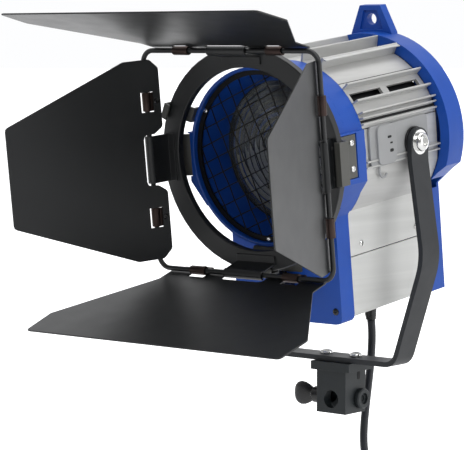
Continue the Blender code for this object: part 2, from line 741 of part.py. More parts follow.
def make_latch(axis):
    """Sprung catch that keeps the accessory ring in its clips."""
    frame = spoke("latch_frame", axis, LATCH_ANGLE)
    pin_r, pin_y = LATCH_PIN
    low = (67.8 * MM, 33 * MM, -9 * MM)
    high = (73.5 * MM, 43 * MM, 9 * MM)
    mount = box("latch_mount", low, high, "grey_paint", frame)
    cut(
        mount,
        box("latch_slot", (68.8 * MM, 32 * MM, -6.3 * MM), (75 * MM, 44 * MM, 6.3 * MM), parent=frame),
        cylinder("latch_pin_hole", 1.5 * MM, 24 * MM, (pin_r, pin_y, 0), FLAT, parent=frame, sides=12),
    )
    hinge = empty("latch_axis", frame, (pin_r, pin_y, 0))
    path = [(x - pin_r, y - pin_y) for x, y in bracket_path(pin_r, pin_y, -2.65 * MM)]
    catch = sheet("ring_latch", [strip(path, CLIP_T)], 12 * MM, "grey_paint", hinge)
    join(catch, cylinder("latch_pin", 1.2 * MM, 18 * MM, (0, 0, 0), FLAT, parent=hinge, sides=12))


def make_guard(axis):
    """Ring with a square wire mesh across it."""
    pitch = 13.5 * MM
    hole = 12.0 * MM
    reach = 61.5 * MM
    loops = [circle(GUARD_R, 48)]
    for row in range(-4, 5):
        for column in range(-4, 5):
            x, z = column * pitch, row * pitch
            if math.hypot(abs(x) + hole / 2, abs(z) + hole / 2) < reach:
                loops.append(rectangle(x - hole / 2, z - hole / 2, x + hole / 2, z + hole / 2))
    sheet("wire_guard", loops, 2.4 * MM, "black_paint", axis, (0, 18.8 * MM, 0), UPRIGHT)


def make_lens(axis):
    front = 42.3 * MM
    back = 51.8 * MM
    rings = 4
    width = (LENS_R - 14 * MM) / rings
    profile = [(0, back), (LENS_R, back), (LENS_R, front + 3.5 * MM)]
    for ring in range(rings):
        outer = LENS_R - ring * width - 0.5 * MM
        profile += [(outer, front + 3.5 * MM), (outer - width + MM, front + MM)]
    profile += [(13 * MM, front + 2 * MM), (7 * MM, front + 0.5 * MM), (0, front)]
    turned("fresnel_lens", profile, "glass", axis, turn=ALONG_Y, steps=40)
    ring = [(LENS_R, 53.8 * MM), (LENS_R, 52.1 * MM), (50 * MM, 52.1 * MM), (50 * MM, 53.8 * MM)]
    turned("lens_ring", ring, "black_paint", axis, turn=ALONG_Y, steps=36, closed=True)


def make_focus(axis):
    """Focus spindle with a knob at each end, and the lamp carriage that it drives."""
    spindle_ends = (22 * MM, 180 * MM)
    middle = sum(spindle_ends) / 2
    length = spindle_ends[1] - spindle_ends[0]
    frame = empty("focus_axis", axis, (0, 0, FOCUS_Z))
    cylinder("focus_spindle", SPINDLE_R, length, (0, middle, 0), ALONG_Y, "chrome", frame, 16)
    # Name, front and back of the knob, its radius, and where the spindle's bore starts and stops
    knobs = (
        ("front", (18.0, 33.6), 11.0, (21.7, 37.0)),
        ("rear", (170.4, 185.0), 14.0, (165.7, 180.3)),
    )
    for word, ends, radius, bore in knobs:
        at = (0, sum(ends) / 2 * MM, 0)
        depth = (ends[1] - ends[0]) * MM
        knob = cylinder(
            "focus_knob_" + word, radius * MM, depth, at, ALONG_Y, "black_plastic", frame, 32
        )
        at = (0, sum(bore) / 2 * MM, 0)
        depth = (bore[1] - bore[0]) * MM
        bore_r = SPINDLE_R + GAP
        cut(knob, cylinder("knob_bore", bore_r, depth, at, ALONG_Y, parent=frame, sides=16))
    for side, word in ((-1, "left"), (1, "right")):
        at = (side * RAIL_X, 101.5 * MM, RAIL_Z)
        cylinder("guide_rail_" + word, 3 * MM, 128 * MM, at, ALONG_Y, "chrome", axis, 16)


def make_carriage(axis):
    slide = empty("carriage_slide", axis, (0, LAMP_Y, 0))
    outline = [(-32 * MM, -112 * MM), (32 * MM, -112 * MM), (32 * MM, -86 * MM), (8 * MM, -86 * MM),
               (8 * MM, -36 * MM), (-8 * MM, -36 * MM), (-8 * MM, -86 * MM), (-32 * MM, -86 * MM)]
    holes = [circle(3.3 * MM, 16, (side * RAIL_X, RAIL_Z)) for side in (-1, 1)]
    holes.append(circle(SPINDLE_R + RUNNING, 16, (0, FOCUS_Z)))
    sheet("lamp_carriage", [outline, *holes], 6 * MM, "aluminium", slide, turn=UPRIGHT)
    box("lamp_holder", (-11 * MM, -8 * MM, -35.7 * MM), (11 * MM, 8 * MM, -19 * MM), "ceramic", slide)
    bulb = [(0, 22 * MM), (3 * MM, 21 * MM), (6.8 * MM, 15 * MM), (7 * MM, 8 * MM), (7 * MM, -8 * MM),
            (4 * MM, -13 * MM), (4 * MM, -18.7 * MM), (0, -18.7 * MM)]
    turned("halogen_lamp", bulb, "glass", slide, steps=20)
    outside = arc((0, 0), 36 * MM, 90, 36, 6)
    inside = arc((0, 0), 35 * MM, 36, 90, 6)
    profile = outside + inside[:-1] + [(0, 35 * MM)]
    dish = turned("reflector", profile, "chrome", slide, turn=ALONG_Y, steps=24)
    stem = [(3.3 * MM, -40 * MM), (24 * MM, -40 * MM), (24 * MM, -26.3 * MM), (20 * MM, -30 * MM),
            (20 * MM, -37 * MM), (3.3 * MM, -37 * MM)]
    join(dish, sheet("reflector_stem", [stem], 6 * MM, None, slide, turn=SIDEWAYS))
    low = (20 * MM, 132 * MM, -124.6 * MM)
    high = (44 * MM, 148 * MM, -113 * MM)
    box("terminal_block", low, high, "ceramic", axis)


def make_gland(axis):
    seat = COVER_BOTTOM - GAP
    profile = [
        (0, -122 * MM), (6.2 * MM, -122 * MM), (6.2 * MM, seat), (9 * MM, seat),
        (9 * MM, -133 * MM), (6.2 * MM, -134 * MM), (4.2 * MM, GLAND_END), (0, GLAND_END),
    ]
    turned("cable_gland", profile, "black_plastic", axis, (0, GLAND_Y, 0), steps=24)


# Barndoor


def make_door_ring(axis):
    inner, outer = RING_R
    profile = chamfered(inner, outer, 0, RING_T, 0.6 * MM)
    ring = turned("door_ring", profile, "black_paint", axis, turn=ALONG_Y, steps=60, closed=True)
    wrap = ROD_R + GAP + 0.75 * MM
    around = [(ROD_Q + x, ROD_Y + y) for x, y in arc((0, 0), wrap, 160, 350, 8)]
    path = [(71 * MM, -0.6 * MM), (77 * MM, -0.6 * MM), *around]
    for word, angle in LEAF_SIDES.items():
        frame = spoke("tab_frame_" + word, axis, angle)
        join(ring, sheet("tab_" + word, [strip(path, 1.5 * MM)], 2 * TAB_HALF, None, frame))


def make_rod_frame(axis):
    square = filleted(rectangle(-ROD_Q, -ROD_Q, ROD_Q, ROD_Q), ROD_CORNER_R, 5, True)
    points = [(x, ROD_Y, z) for x, z in square]
    tube("rod_frame", points, ROD_R, "black_paint", axis, closed=True)


def leaf_outline(side):
    """Half outline as (u along the hinge, v away from it), back edge first."""
    if side in ("left", "right"):
        corners = [(69, -10), (76, -3), (76, 18), (37.4, 114)]
    else:
        corners = [(66, -10), (73, -3), (73, 14), (121, 86), (119, 116)]
    half = [(19.5, 6), (19.5, -3), (24.5, -10), *corners]
    whole = [(u * MM, v * MM) for u, v in half] + [(-u * MM, v * MM) for u, v in reversed(half)]
    return [(-v, u) for u, v in filleted(whole, 3.5 * MM, 2, True)]


def clip_outline(way):
    """A sleeve round the rod, with a flat end against the leaf's flange, on the side that way says."""
    outer = 3.3 * MM
    low, high = 1.0 * MM, 2.2 * MM
    start = math.degrees(math.acos(high / outer))
    end = math.degrees(math.acos(low / outer)) - 360
    sleeve = [(low, 9 * MM), (high, 9 * MM), *arc((0, 0), outer, start, end, 16)]
    return [(way * x, y) for x, y in sleeve]


def make_leaf(axis, side):
    frame = spoke("leaf_side_" + side, axis, LEAF_SIDES[side])
    hinge = empty("leaf_hinge_" + side, frame, (ROD_Q, ROD_Y, 0), (0, 0, math.radians(LEAF_REST[side])))
    loops = [leaf_outline(side)]
    for sign in (-1, 1):
        low, high = sorted((sign * (CLIP_U - 7.6 * MM), sign * (CLIP_U + 7.6 * MM)))
        loops.append(rectangle(-5.8 * MM, low, 4.3 * MM, high))
    sheet("leaf_" + side, loops, LEAF_T, "black_paint", hinge, (LEAF_OFFSET[side], 0, 0), SIDEWAYS)
    clip = clip_outline(math.copysign(1, LEAF_OFFSET[side]))
    for number, sign in ((1, -1), (2, 1)):
        sheet(f"leaf_clip_{side}_{number}", [clip, circle(ROD_R + GAP, 14)], 2 * CLIP_HALF,
              "bright_metal", hinge, (0, 0, sign * CLIP_U))


# Mains cord


def make_cord():
    for name, places, per_span in (("mains_cord", CORD_ROUTE, 2), ("cord_tail", TAIL_ROUTE, 1)):
        route = smooth_route([tuple(value * MM for value in place) for place in places], per_span)
        tube(name, route, CORD_R, "rubber")
    low, high = -COIL_HALF_W, COIL_HALF_W
    inner, outer = COIL_R
    ring = chamfered(inner, outer, low, high, 3 * MM)
    turned("cord_coil", ring, "rubber", None, COIL_AT, ALONG_Y, 28, True)
    middle = (inner + outer) / 2
    half_z = (outer - inner) / 2
    loops = [
        rectangle(low - 1.5 * MM, -half_z - 2.2 * MM, high + 1.5 * MM, half_z + 1.4 * MM),
        rectangle(low - GAP, -half_z - 1.0 * MM, high + GAP, half_z + GAP),
    ]
    at = (0, COIL_AT[1], COIL_AT[2] + middle)
    sheet("coil_tie", loops, 8 * MM, "black_plastic", None, at, SIDEWAYS)


def make_plug():
    """Moulded plug with two round pins, hanging from the cord's end."""
    x, y, end_z = PLUG_AT
    top = end_z - GAP
    shoulder = top - 16 * MM
    foot = top - 22 * MM
    neck = [(0, top), (4.4 * MM, top), (6.5 * MM, shoulder), (6.5 * MM, foot), (0, foot)]
    plug = turned("mains_plug", neck, "black_plastic", None, (x, y, 0), steps=20)
    outline = filleted(rectangle(-17 * MM, -9 * MM, 17 * MM, 9 * MM), 6 * MM, 3, True)
    join(plug, sheet("plug_body", [outline], 24 * MM, None, None, (x, y, top - 32 * MM), FLAT))
    for side in (-1, 1):
        pin_at = (x + side * 9.5 * MM, y, top - 52 * MM)
        join(plug, cylinder("plug_pin", 2.4 * MM, 19 * MM, pin_at, FLAT, sides=12))


def main():
    make_socket()
    make_stirrup()
    make_lock_handle()
    tilt = empty("tilt_axis", at=(0, 0, PIVOT_Z), turn=(TILT_REST, 0, 0))
    axis = empty("optical_axis", tilt, (0, -RING_AHEAD, AXIS_RISE))
    make_front_casting(axis)
    make_shell(axis)
    make_rear_casting(axis)
    make_covers(axis)
    make_pivots(axis, tilt)
    make_tilt_lever(tilt)
    make_accessory_clips(axis)
    make_latch(axis)
    make_guard(axis)
    make_lens(axis)
    make_focus(axis)
    make_carriage(axis)
    make_gland(axis)
    make_door_ring(axis)
    make_rod_frame(axis)
    for side in LEAF_SIDES:
        make_leaf(axis, side)
    make_cord()
    make_plug()


main()
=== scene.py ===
"""Looks of the fresnel spotlight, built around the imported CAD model.

Shapes are given in millimetres in the frame of the part that they belong to. LAMP has X across,
Y back from the front face of the accessory ring and Z up from the axis of the lens.
"""
import json
import math

import bmesh
import bpy
from mathutils import Matrix, Vector

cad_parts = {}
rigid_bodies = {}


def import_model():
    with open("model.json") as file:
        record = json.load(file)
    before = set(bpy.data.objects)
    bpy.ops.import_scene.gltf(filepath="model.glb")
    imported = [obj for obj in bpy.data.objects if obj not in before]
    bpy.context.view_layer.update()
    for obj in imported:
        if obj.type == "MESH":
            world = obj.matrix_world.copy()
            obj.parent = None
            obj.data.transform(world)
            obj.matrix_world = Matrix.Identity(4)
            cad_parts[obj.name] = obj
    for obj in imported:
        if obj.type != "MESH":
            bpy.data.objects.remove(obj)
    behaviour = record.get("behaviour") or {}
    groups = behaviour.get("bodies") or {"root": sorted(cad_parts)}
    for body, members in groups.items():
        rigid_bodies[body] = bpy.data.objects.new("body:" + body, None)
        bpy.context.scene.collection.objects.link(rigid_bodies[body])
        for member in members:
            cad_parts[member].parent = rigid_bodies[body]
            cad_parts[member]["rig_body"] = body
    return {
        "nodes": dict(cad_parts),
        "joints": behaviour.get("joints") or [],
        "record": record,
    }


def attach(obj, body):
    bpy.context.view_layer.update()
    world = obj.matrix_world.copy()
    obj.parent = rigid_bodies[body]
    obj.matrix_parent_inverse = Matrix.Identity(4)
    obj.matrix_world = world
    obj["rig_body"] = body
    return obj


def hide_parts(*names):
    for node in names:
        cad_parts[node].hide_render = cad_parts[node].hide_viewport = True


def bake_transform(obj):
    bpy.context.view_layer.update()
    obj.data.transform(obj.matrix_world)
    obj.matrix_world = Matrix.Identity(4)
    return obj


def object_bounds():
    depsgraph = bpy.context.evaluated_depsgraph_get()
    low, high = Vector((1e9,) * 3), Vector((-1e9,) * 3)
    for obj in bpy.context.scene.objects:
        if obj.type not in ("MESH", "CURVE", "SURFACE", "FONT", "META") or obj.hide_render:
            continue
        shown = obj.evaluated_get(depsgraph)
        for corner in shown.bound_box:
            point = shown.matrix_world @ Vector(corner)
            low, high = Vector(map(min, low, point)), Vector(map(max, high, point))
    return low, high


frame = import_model()
CAD_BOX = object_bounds()

MM = 0.001
TURNS = {
    "X": (90, "Y"),
    "-X": (-90, "Y"),
    "Y": (-90, "X"),
    "-Y": (90, "X"),
    "Z": (0, "X"),
    "-Z": (180, "X"),
}
JOINTS = {joint["name"]: joint for joint in frame["joints"]}
SCENE = bpy.context.scene


# Frames, from the joints of the CAD model


def lamp_frame(origin):
    """Axes of the tilted lamp at a point: X across, Y back, Z up."""
    across = Vector((1, 0, 0))
    back = Vector(JOINTS["barndoor_turn"]["axis"]).normalized()
    turn = Matrix((across, back, across.cross(back))).transposed().to_4x4()
    return Matrix.Translation(origin) @ turn


def moved(base, x=0, y=0, z=0):
    """A frame shifted along its own axes, in millimetres."""
    return base @ Matrix.Translation(Vector((x, y, z)) * MM)


def turned_by(base, degrees, axis):
    return base @ Matrix.Rotation(math.radians(degrees), 4, axis)


def spoke(angle):
    """The lamp frame turned so that its X points outwards, at an angle from the lamp's X."""
    return turned_by(LAMP, -angle, "Y")


def facing(base, x, y, z, axis):
    """A frame at a point of another, its Z along plus or minus one of that frame's axes."""
    return turned_by(moved(base, x, y, z), *TURNS[axis])


WORLD = Matrix.Identity(4)
LAMP = lamp_frame(JOINTS["barndoor_turn"]["pos_m"])
TILT = lamp_frame(JOINTS["tilt"]["pos_m"])
LENS_AXIS = facing(LAMP, 0, 0, 0, "Y")
LEAF_ANGLES = {"right": 0.0, "top": 90.0, "left": 180.0, "bottom": 270.0}


# Camera, light and floor


# Places in metres, the lens and sensor in millimetres
CAMERA_TARGET = (-0.0162, -0.1144, 0.1526)
CAMERA_SIDE = (0.6349, -0.7684, 0.0806)
CAMERA_DISTANCE = 1.6552
CAMERA_LENS = 172.8


def make_camera():
    """Long lens from the front and right, a little above the lamp."""
    target = Vector(CAMERA_TARGET)
    back = Vector(CAMERA_SIDE).normalized()
    across = Vector((0, 0, 1)).cross(back).normalized()
    up = back.cross(across)
    data = bpy.data.cameras.new("camera")
    data.lens = CAMERA_LENS
    data.sensor_width = 36.0
    data.clip_end = 50.0
    camera = bpy.data.objects.new("camera", data)
    SCENE.collection.objects.link(camera)
    turn = Matrix((across, up, back)).transposed().to_4x4()
    camera.matrix_world = Matrix.Translation(target + back * CAMERA_DISTANCE) @ turn
    SCENE.camera = camera


# Places and sizes in metres, light in watts
SURROUND = (0.985, 0.99, 1.0, 1.0)
BEHIND_LAMP = (-0.62, 0.76, 0.2)
LIGHT_TARGET = (0, -0.05, 0.18)
LIGHTS = (
    ("key", (1.6, -1.2, 1.9), (1.4, 1.4), 27),
    ("side", (2.0, 0.6, 0.6), (1.2, 1.6), 13),
    ("fill", (0.2, -1.6, 2.3), (1.0, 1.0), 9),
    ("top", (-0.2, 0.3, 2.2), (1.8, 1.8), 18),
)
FLOOR_SIZE = 40.0
FLOOR_GAP = 0.02


def make_light(name, at, size, watts):
    data = bpy.data.lights.new(name, "AREA")
    data.shape = "RECTANGLE"
    data.size, data.size_y = size
    data.energy = watts
    light = bpy.data.objects.new(name, data)
    SCENE.collection.objects.link(light)
    light.location = at
    toward = Vector(LIGHT_TARGET) - Vector(at)
    light.rotation_euler = toward.to_track_quat("-Z", "Y").to_euler()


def make_studio():
    """Bright surround, brightest behind the lamp, with soft boxes above and to the sides."""
    world = bpy.data.worlds.new("studio")
    world.use_nodes = True
    nodes, links = world.node_tree.nodes, world.node_tree.links
    background = nodes["Background"]
    coordinate = nodes.new("ShaderNodeTexCoord")
    toward = nodes.new("ShaderNodeVectorMath")
    toward.operation = "DOT_PRODUCT"
    toward.inputs[1].default_value = BEHIND_LAMP
    ramp = nodes.new("ShaderNodeMapRange")
    ramp.interpolation_type = "SMOOTHSTEP"
    ramp.inputs["From Min"].default_value = -0.35
    ramp.inputs["From Max"].default_value = 0.75
    ramp.inputs["To Min"].default_value = 0.17
    ramp.inputs["To Max"].default_value = 1.0
    links.new(coordinate.outputs["Generated"], toward.inputs[0])
    links.new(toward.outputs["Value"], ramp.inputs["Value"])
    links.new(ramp.outputs["Result"], background.inputs["Strength"])
    background.inputs["Color"].default_value = SURROUND
    SCENE.world = world
    for name, at, size, watts in LIGHTS:
        make_light(name, at, size, watts)
    SCENE.view_settings.view_transform = "Standard"


def make_floor():
    """A pale floor under the lamp that brightens into the white surround."""
    mesh = bpy.data.meshes.new("studio_floor")
    z = CAD_BOX[0][2] - FLOOR_GAP
    corners = [(FLOOR_SIZE * sx, FLOOR_SIZE * sy, z) for sx, sy in ((-1, -1), (1, -1), (1, 1), (-1, 1))]
    mesh.from_pydata(corners, [], [(0, 1, 2, 3)])
    floor = bpy.data.objects.new("studio_floor", mesh)
    SCENE.collection.objects.link(floor)
    floor.data.materials.append(FLOOR_LOOK)


# Materials


class Look:
    """A Principled material under construction, with its texture nodes."""

    def __init__(self, name, colour, roughness, metallic=0.0, specular=0.5):
        self.material = bpy.data.materials.new(name)
        self.material.use_nodes = True
        self.nodes = self.material.node_tree.nodes
        self.links = self.material.node_tree.links
        self.shader = self.nodes["Principled BSDF"]
        self.colour = colour
        self.roughness = roughness
        self.shader.inputs["Base Color"].default_value = (*colour, 1.0)
        self.shader.inputs["Roughness"].default_value = roughness
        self.shader.inputs["Metallic"].default_value = metallic
        self.shader.inputs["Specular IOR Level"].default_value = specular
        self.coordinate = self.nodes.new("ShaderNodeTexCoord")
        self.paint = None
        self.normal = None

    def noise(self, scale, stretch=(1, 1, 1), turn=0.0, detail=3.0, seed=0.0):
        """Noise in object space, its scale in features per metre, stretched along the lamp's axes."""
        mapping = self.nodes.new("ShaderNodeMapping")
        mapping.inputs["Rotation"].default_value = (turn, 0, 0)
        mapping.inputs["Location"].default_value = (seed, seed, seed)
        mapping.inputs["Scale"].default_value = stretch
        texture = self.nodes.new("ShaderNodeTexNoise")
        texture.inputs["Scale"].default_value = scale
        texture.inputs["Detail"].default_value = detail
        self.links.new(self.coordinate.outputs["Object"], mapping.inputs["Vector"])
        self.links.new(mapping.outputs["Vector"], texture.inputs["Vector"])
        return texture.outputs["Fac"]

    def remap(self, value, low, high, to_low, to_high):
        node = self.nodes.new("ShaderNodeMapRange")
        for name, number in zip(("From Min", "From Max", "To Min", "To Max"), (low, high, to_low, to_high)):
            node.inputs[name].default_value = number
        self.links.new(value, node.inputs["Value"])
        return node.outputs["Result"]

    def tint(self, mask, colour):
        """Mix another colour over the paint where the mask is 1."""
        mix = self.nodes.new("ShaderNodeMix")
        mix.data_type = "RGBA"
        if self.paint is None:
            mix.inputs["A"].default_value = (*self.colour, 1.0)
        else:
            self.links.new(self.paint, mix.inputs["A"])
        mix.inputs["B"].default_value = (*colour, 1.0)
        self.links.new(mask, mix.inputs["Factor"])
        self.paint = mix.outputs["Result"]
        self.links.new(self.paint, self.shader.inputs["Base Color"])
        return self

    def mottle(self, scale, amount, **options):
        """Slow change of colour by a share of itself."""
        colour = tuple(min(1.0, channel * (1 + amount)) for channel in self.colour)
        return self.tint(self.remap(self.noise(scale, **options), 0.35, 0.65, 0, 1), colour)

    def uneven(self, scale, spread, **options):
        """Roughness that varies around its value."""
        low, high = self.roughness - spread, self.roughness + spread
        rough = self.remap(self.noise(scale, seed=3.0, **options), 0.3, 0.7, max(low, 0.02), high)
        self.links.new(rough, self.shader.inputs["Roughness"])
        return self

    def bump(self, scale, height, strength=1.0, **options):
        """Surface texture, its height in millimetres."""
        node = self.nodes.new("ShaderNodeBump")
        node.inputs["Strength"].default_value = strength
        node.inputs["Distance"].default_value = height * MM
        self.links.new(self.noise(scale, seed=7.0, **options), node.inputs["Height"])
        if self.normal is not None:
            self.links.new(self.normal, node.inputs["Normal"])
        self.normal = node.outputs["Normal"]
        self.links.new(self.normal, self.shader.inputs["Normal"])
        return self

    def worn(self, colour, radius=0.5, amount=0.5):
        """Lighter paint along convex edges, broken up by noise."""
        rounded = self.nodes.new("ShaderNodeBevel")
        rounded.samples = 4
        rounded.inputs["Radius"].default_value = radius * MM
        geometry = self.nodes.new("ShaderNodeNewGeometry")
        same = self.nodes.new("ShaderNodeVectorMath")
        same.operation = "DOT_PRODUCT"
        self.links.new(rounded.outputs["Normal"], same.inputs[0])
        self.links.new(geometry.outputs["Normal"], same.inputs[1])
        edge = self.remap(same.outputs["Value"], 0.98, 0.80, 0, amount)
        patches = self.remap(self.noise(160, seed=11.0), 0.42, 0.62, 0, 1)
        both = self.nodes.new("ShaderNodeMath")
        both.operation = "MULTIPLY"
        self.links.new(edge, both.inputs[0])
        self.links.new(patches, both.inputs[1])
        return self.tint(both.outputs["Value"], colour)

    def set(self, **inputs):
        for name, value in inputs.items():
            self.shader.inputs[name.replace("_", " ")].default_value = value
        return self


def powder_coat(name, colour, roughness, specular, grain=0.05, wear=None, spread=0.05):
    look = Look(name, colour, roughness, specular=specular)
    look.mottle(22, 0.14).uneven(60, spread)
    if wear is not None:
        look.worn(wear)
    look.bump(1500, grain, detail=2.0)
    return look.material


def brushed_metal(name, colour, roughness, stretch, scale=700, depth=0.012, metallic=1.0):
    """Metal with a grain along one axis of the lamp."""
    turn = -math.asin(LAMP.col[1].z)
    look = Look(name, colour, roughness, metallic)
    look.mottle(scale * 0.25, -0.10, stretch=stretch, turn=turn)
    look.uneven(scale * 0.5, 0.07, stretch=stretch, turn=turn)
    look.bump(scale, depth, stretch=stretch, turn=turn)
    return look.material


def polished_metal(name, colour, roughness):
    look = Look(name, colour, roughness, 1.0)
    return look.mottle(40, -0.08).uneven(120, 0.05).bump(600, 0.004).material


def moulded(name, colour, roughness, grain=0.03):
    return Look(name, colour, roughness).mottle(30, 0.25).uneven(90, 0.06).bump(1300, grain).material


def clear_glass(name, colour, roughness, clarity):
    look = Look(name, colour, roughness)
    look.mottle(35, -0.05).uneven(50, 0.02).bump(40, 0.003)
    look.set(Transmission_Weight=clarity, IOR=1.47)
    return look.material


def ceramic():
    look = Look("ceramic", (0.74, 0.71, 0.64), 0.6)
    return look.mottle(60, 0.12).uneven(80, 0.06).bump(500, 0.03).material


ALONG_LAMP = (1.0, 0.02, 1.0)
EVERY_WAY = (1.0, 1.0, 1.0)
LOOKS = {
    "lamp_blue": powder_coat("blue_powder_coat", (0.005, 0.060, 0.345), 0.42, 0.32, 0.06, (0.03, 0.12, 0.46)),
    "lamp_aluminium": brushed_metal("satin_aluminium", (0.66, 0.665, 0.65), 0.48, ALONG_LAMP, metallic=0.35),
    "stirrup_grey": powder_coat("stirrup_coat", (0.013, 0.015, 0.018), 0.48, 0.45, 0.05, (0.09, 0.095, 0.1)),
    "socket_black": powder_coat("socket_coat", (0.014, 0.018, 0.020), 0.45, 0.42, 0.05, (0.12, 0.125, 0.13)),
    "grey_casting": powder_coat("bracket_coat", (0.27, 0.275, 0.28), 0.45, 0.5, 0.08, (0.42, 0.42, 0.42)),
    "clip_grey": powder_coat("clip_coat", (0.062, 0.062, 0.056), 0.42, 0.5, 0.03, (0.2, 0.2, 0.19)),
    "door_black": powder_coat(
        "barndoor_coat", (0.0075, 0.0085, 0.0095), 0.40, 0.55, 0.03, (0.05, 0.055, 0.06), 0.02
    ),
    "clip_metal": brushed_metal("tinted_spring_steel", (0.062, 0.044, 0.040), 0.45, EVERY_WAY, 300, 0.02),
    "guard_black": powder_coat("guard_coat", (0.005, 0.005, 0.006), 0.45, 0.25, 0.02),
    "bright_steel": polished_metal("bright_plating", (0.80, 0.80, 0.79), 0.16),
    "carriage_aluminium": brushed_metal("mill_aluminium", (0.62, 0.62, 0.61), 0.4, EVERY_WAY, 250),
    "reflector_metal": polished_metal("polished_reflector", (0.86, 0.86, 0.85), 0.08),
    "knob_black": moulded("black_moulding", (0.006, 0.006, 0.007), 0.24),
    "cord_rubber": moulded("cord_sheath", (0.010, 0.012, 0.017), 0.42, 0.02),
    "lens_glass": clear_glass("lens_glass", (0.90, 0.94, 0.95), 0.05, 0.95),
    "lamp_glass": clear_glass("lamp_glass", (0.98, 0.98, 0.98), 0.03, 1.0),
    "ceramic": ceramic(),
}
SHELL_LOOK = brushed_metal("extruded_aluminium", (0.53, 0.53, 0.52), 0.46, ALONG_LAMP, metallic=0.4)
# Near-black for the dark seams along the shell, and painted shade for the insides of the bracket and socket
# slots
SEAM_AND_SLOT_SHADE_LOOK = moulded("dark_seam_and_slot_shade", (0.004, 0.004, 0.005), 0.8)


def floor_paper():
    """Pale paper that glows behind the lamp, so that no horizon shows in the photograph's view."""
    look = Look("studio_paper", (0.90, 0.90, 0.90), 0.9).mottle(0.8, 0.03).bump(60, 0.2)
    behind = look.nodes.new("ShaderNodeVectorMath")
    behind.operation = "DOT_PRODUCT"
    behind.inputs[1].default_value = (-0.64, 0.77, 0.0)
    look.links.new(look.coordinate.outputs["Object"], behind.inputs[0])
    glow = look.remap(behind.outputs["Value"], 0.4, 1.15, 0.0, 1.0)
    look.links.new(glow, look.shader.inputs["Emission Strength"])
    return look.set(Emission_Color=SURROUND).material


FLOOR_LOOK = floor_paper()


# Building meshes, in millimetres of a frame


def to_mesh(name, builder, base):
    mesh = bpy.data.meshes.new(name)
    bmesh.ops.recalc_face_normals(builder, faces=builder.faces)
    builder.to_mesh(mesh)
    builder.free()
    mesh.transform(base @ Matrix.Scale(MM, 4))
    return mesh


def lathe(name, profile, base, steps=48, closed=False, ripple=(0, 0.0)):
    """(radius, height) points turned about the frame's Z; a third value of 1 takes the ripple."""
    waves, depth = ripple
    builder = bmesh.new()
    rings = []
    for radius, height, *rippled in profile:
        if radius == 0:
            rings.append([builder.verts.new((0, 0, height))] * steps)
            continue
        ring = []
        for i in range(steps):
            angle = 2 * math.pi * i / steps
            reach = radius - (depth * (0.5 - 0.5 * math.cos(waves * angle)) if rippled else 0)
            ring.append(builder.verts.new((reach * math.cos(angle), reach * math.sin(angle), height)))
        rings.append(ring)
    pairs = list(zip(rings, rings[1:]))
    if closed:
        pairs.append((rings[-1], rings[0]))
    for low, high in pairs:
        for i in range(steps):
            j = (i + 1) % steps
            corners = list(dict.fromkeys((low[i], low[j], high[j], high[i])))
            if len(corners) > 2:
                builder.faces.new(corners)
    return to_mesh(name, builder, base)


def sweep(name, points, radius, base=WORLD, sides=12, closed=False):
    """A round rod along points; radius is a number or one for each point."""
    points = [Vector(point) for point in points]
    count = len(points)
    radii = radius if isinstance(radius, (list, tuple)) else [radius] * count
    builder = bmesh.new()
    rings = []
    side = None
    for i, point in enumerate(points):
        before = points[i - 1] if (i or closed) else point
        after = points[(i + 1) % count] if (i < count - 1 or closed) else point
        along = (after - before).normalized()
        if side is None:
            side = along.orthogonal().normalized()
        side = (side - along * side.dot(along)).normalized()
        other = along.cross(side)
        ring = []
        for step in range(sides):
            angle = 2 * math.pi * step / sides
            offset = side * math.cos(angle) + other * math.sin(angle)
            ring.append(builder.verts.new(point + offset * radii[i]))
        rings.append(ring)
    pairs = list(zip(rings, rings[1:]))
    if closed:
        pairs.append((rings[-1], rings[0]))
    for low, high in pairs:
        for i in range(sides):
            j = (i + 1) % sides
            builder.faces.new((low[i], low[j], high[j], high[i]))
    if not closed:
        builder.faces.new(rings[0])
        builder.faces.new(rings[-1])
    return to_mesh(name, builder, base)


def blade(name, base, stations, sides=28):
    """A smooth flattened bar along the frame's Z: (height, half width, half thickness)."""
    builder = bmesh.new()
    rings = []
    for height, wide, thick in stations:
        ring = []
        for i in range(sides):
            angle = 2 * math.pi * i / sides
            x, y = math.cos(angle), math.sin(angle)
            square = (abs(x) ** 2.5 + abs(y) ** 2.5) ** (-1 / 2.5)
            ring.append(builder.verts.new((wide * x * square, thick * y * square, height)))
        rings.append(ring)
    for low, high in zip(rings, rings[1:]):
        for i in range(sides):
            j = (i + 1) % sides
            builder.faces.new((low[i], low[j], high[j], high[i]))
    for ring, out in ((rings[0], -0.4), (rings[-1], 0.6)):
        middle = sum((vert.co for vert in ring), Vector()) / sides
        tip = builder.verts.new(middle + Vector((0, 0, out)))
        for i in range(sides):
            builder.faces.new((ring[i], ring[(i + 1) % sides], tip))
    return to_mesh(name, builder, base)


def block(name, low, high, base):
    builder = bmesh.new()
    bmesh.ops.create_cube(builder, size=1.0)
    size = Vector(high) - Vector(low)
    bmesh.ops.scale(builder, vec=size, verts=builder.verts)
    bmesh.ops.translate(builder, vec=(Vector(high) + Vector(low)) / 2, verts=builder.verts)
    return to_mesh(name, builder, base)


def plate(name, loops, thickness, base):
    """A flat outline with holes in the frame's XY plane, thickened about it."""
    curve = bpy.data.curves.new(name, "CURVE")
    curve.dimensions = "2D"
    curve.fill_mode = "BOTH"
    curve.extrude = thickness / 2
    for loop in loops:
        spline = curve.splines.new("POLY")
        spline.points.add(len(loop) - 1)
        for point, (x, y) in zip(spline.points, loop):
            point.co = (x, y, 0.0, 1.0)
        spline.use_cyclic_u = True
    outline = bpy.data.objects.new(name, curve)
    builder = bmesh.new()
    builder.from_mesh(outline.to_mesh())
    bmesh.ops.remove_doubles(builder, verts=builder.verts, dist=1e-4)
    bmesh.ops.dissolve_limit(
        builder, angle_limit=math.radians(0.5), verts=builder.verts, edges=builder.edges
    )
    bpy.data.objects.remove(outline)
    return to_mesh(name, builder, base)


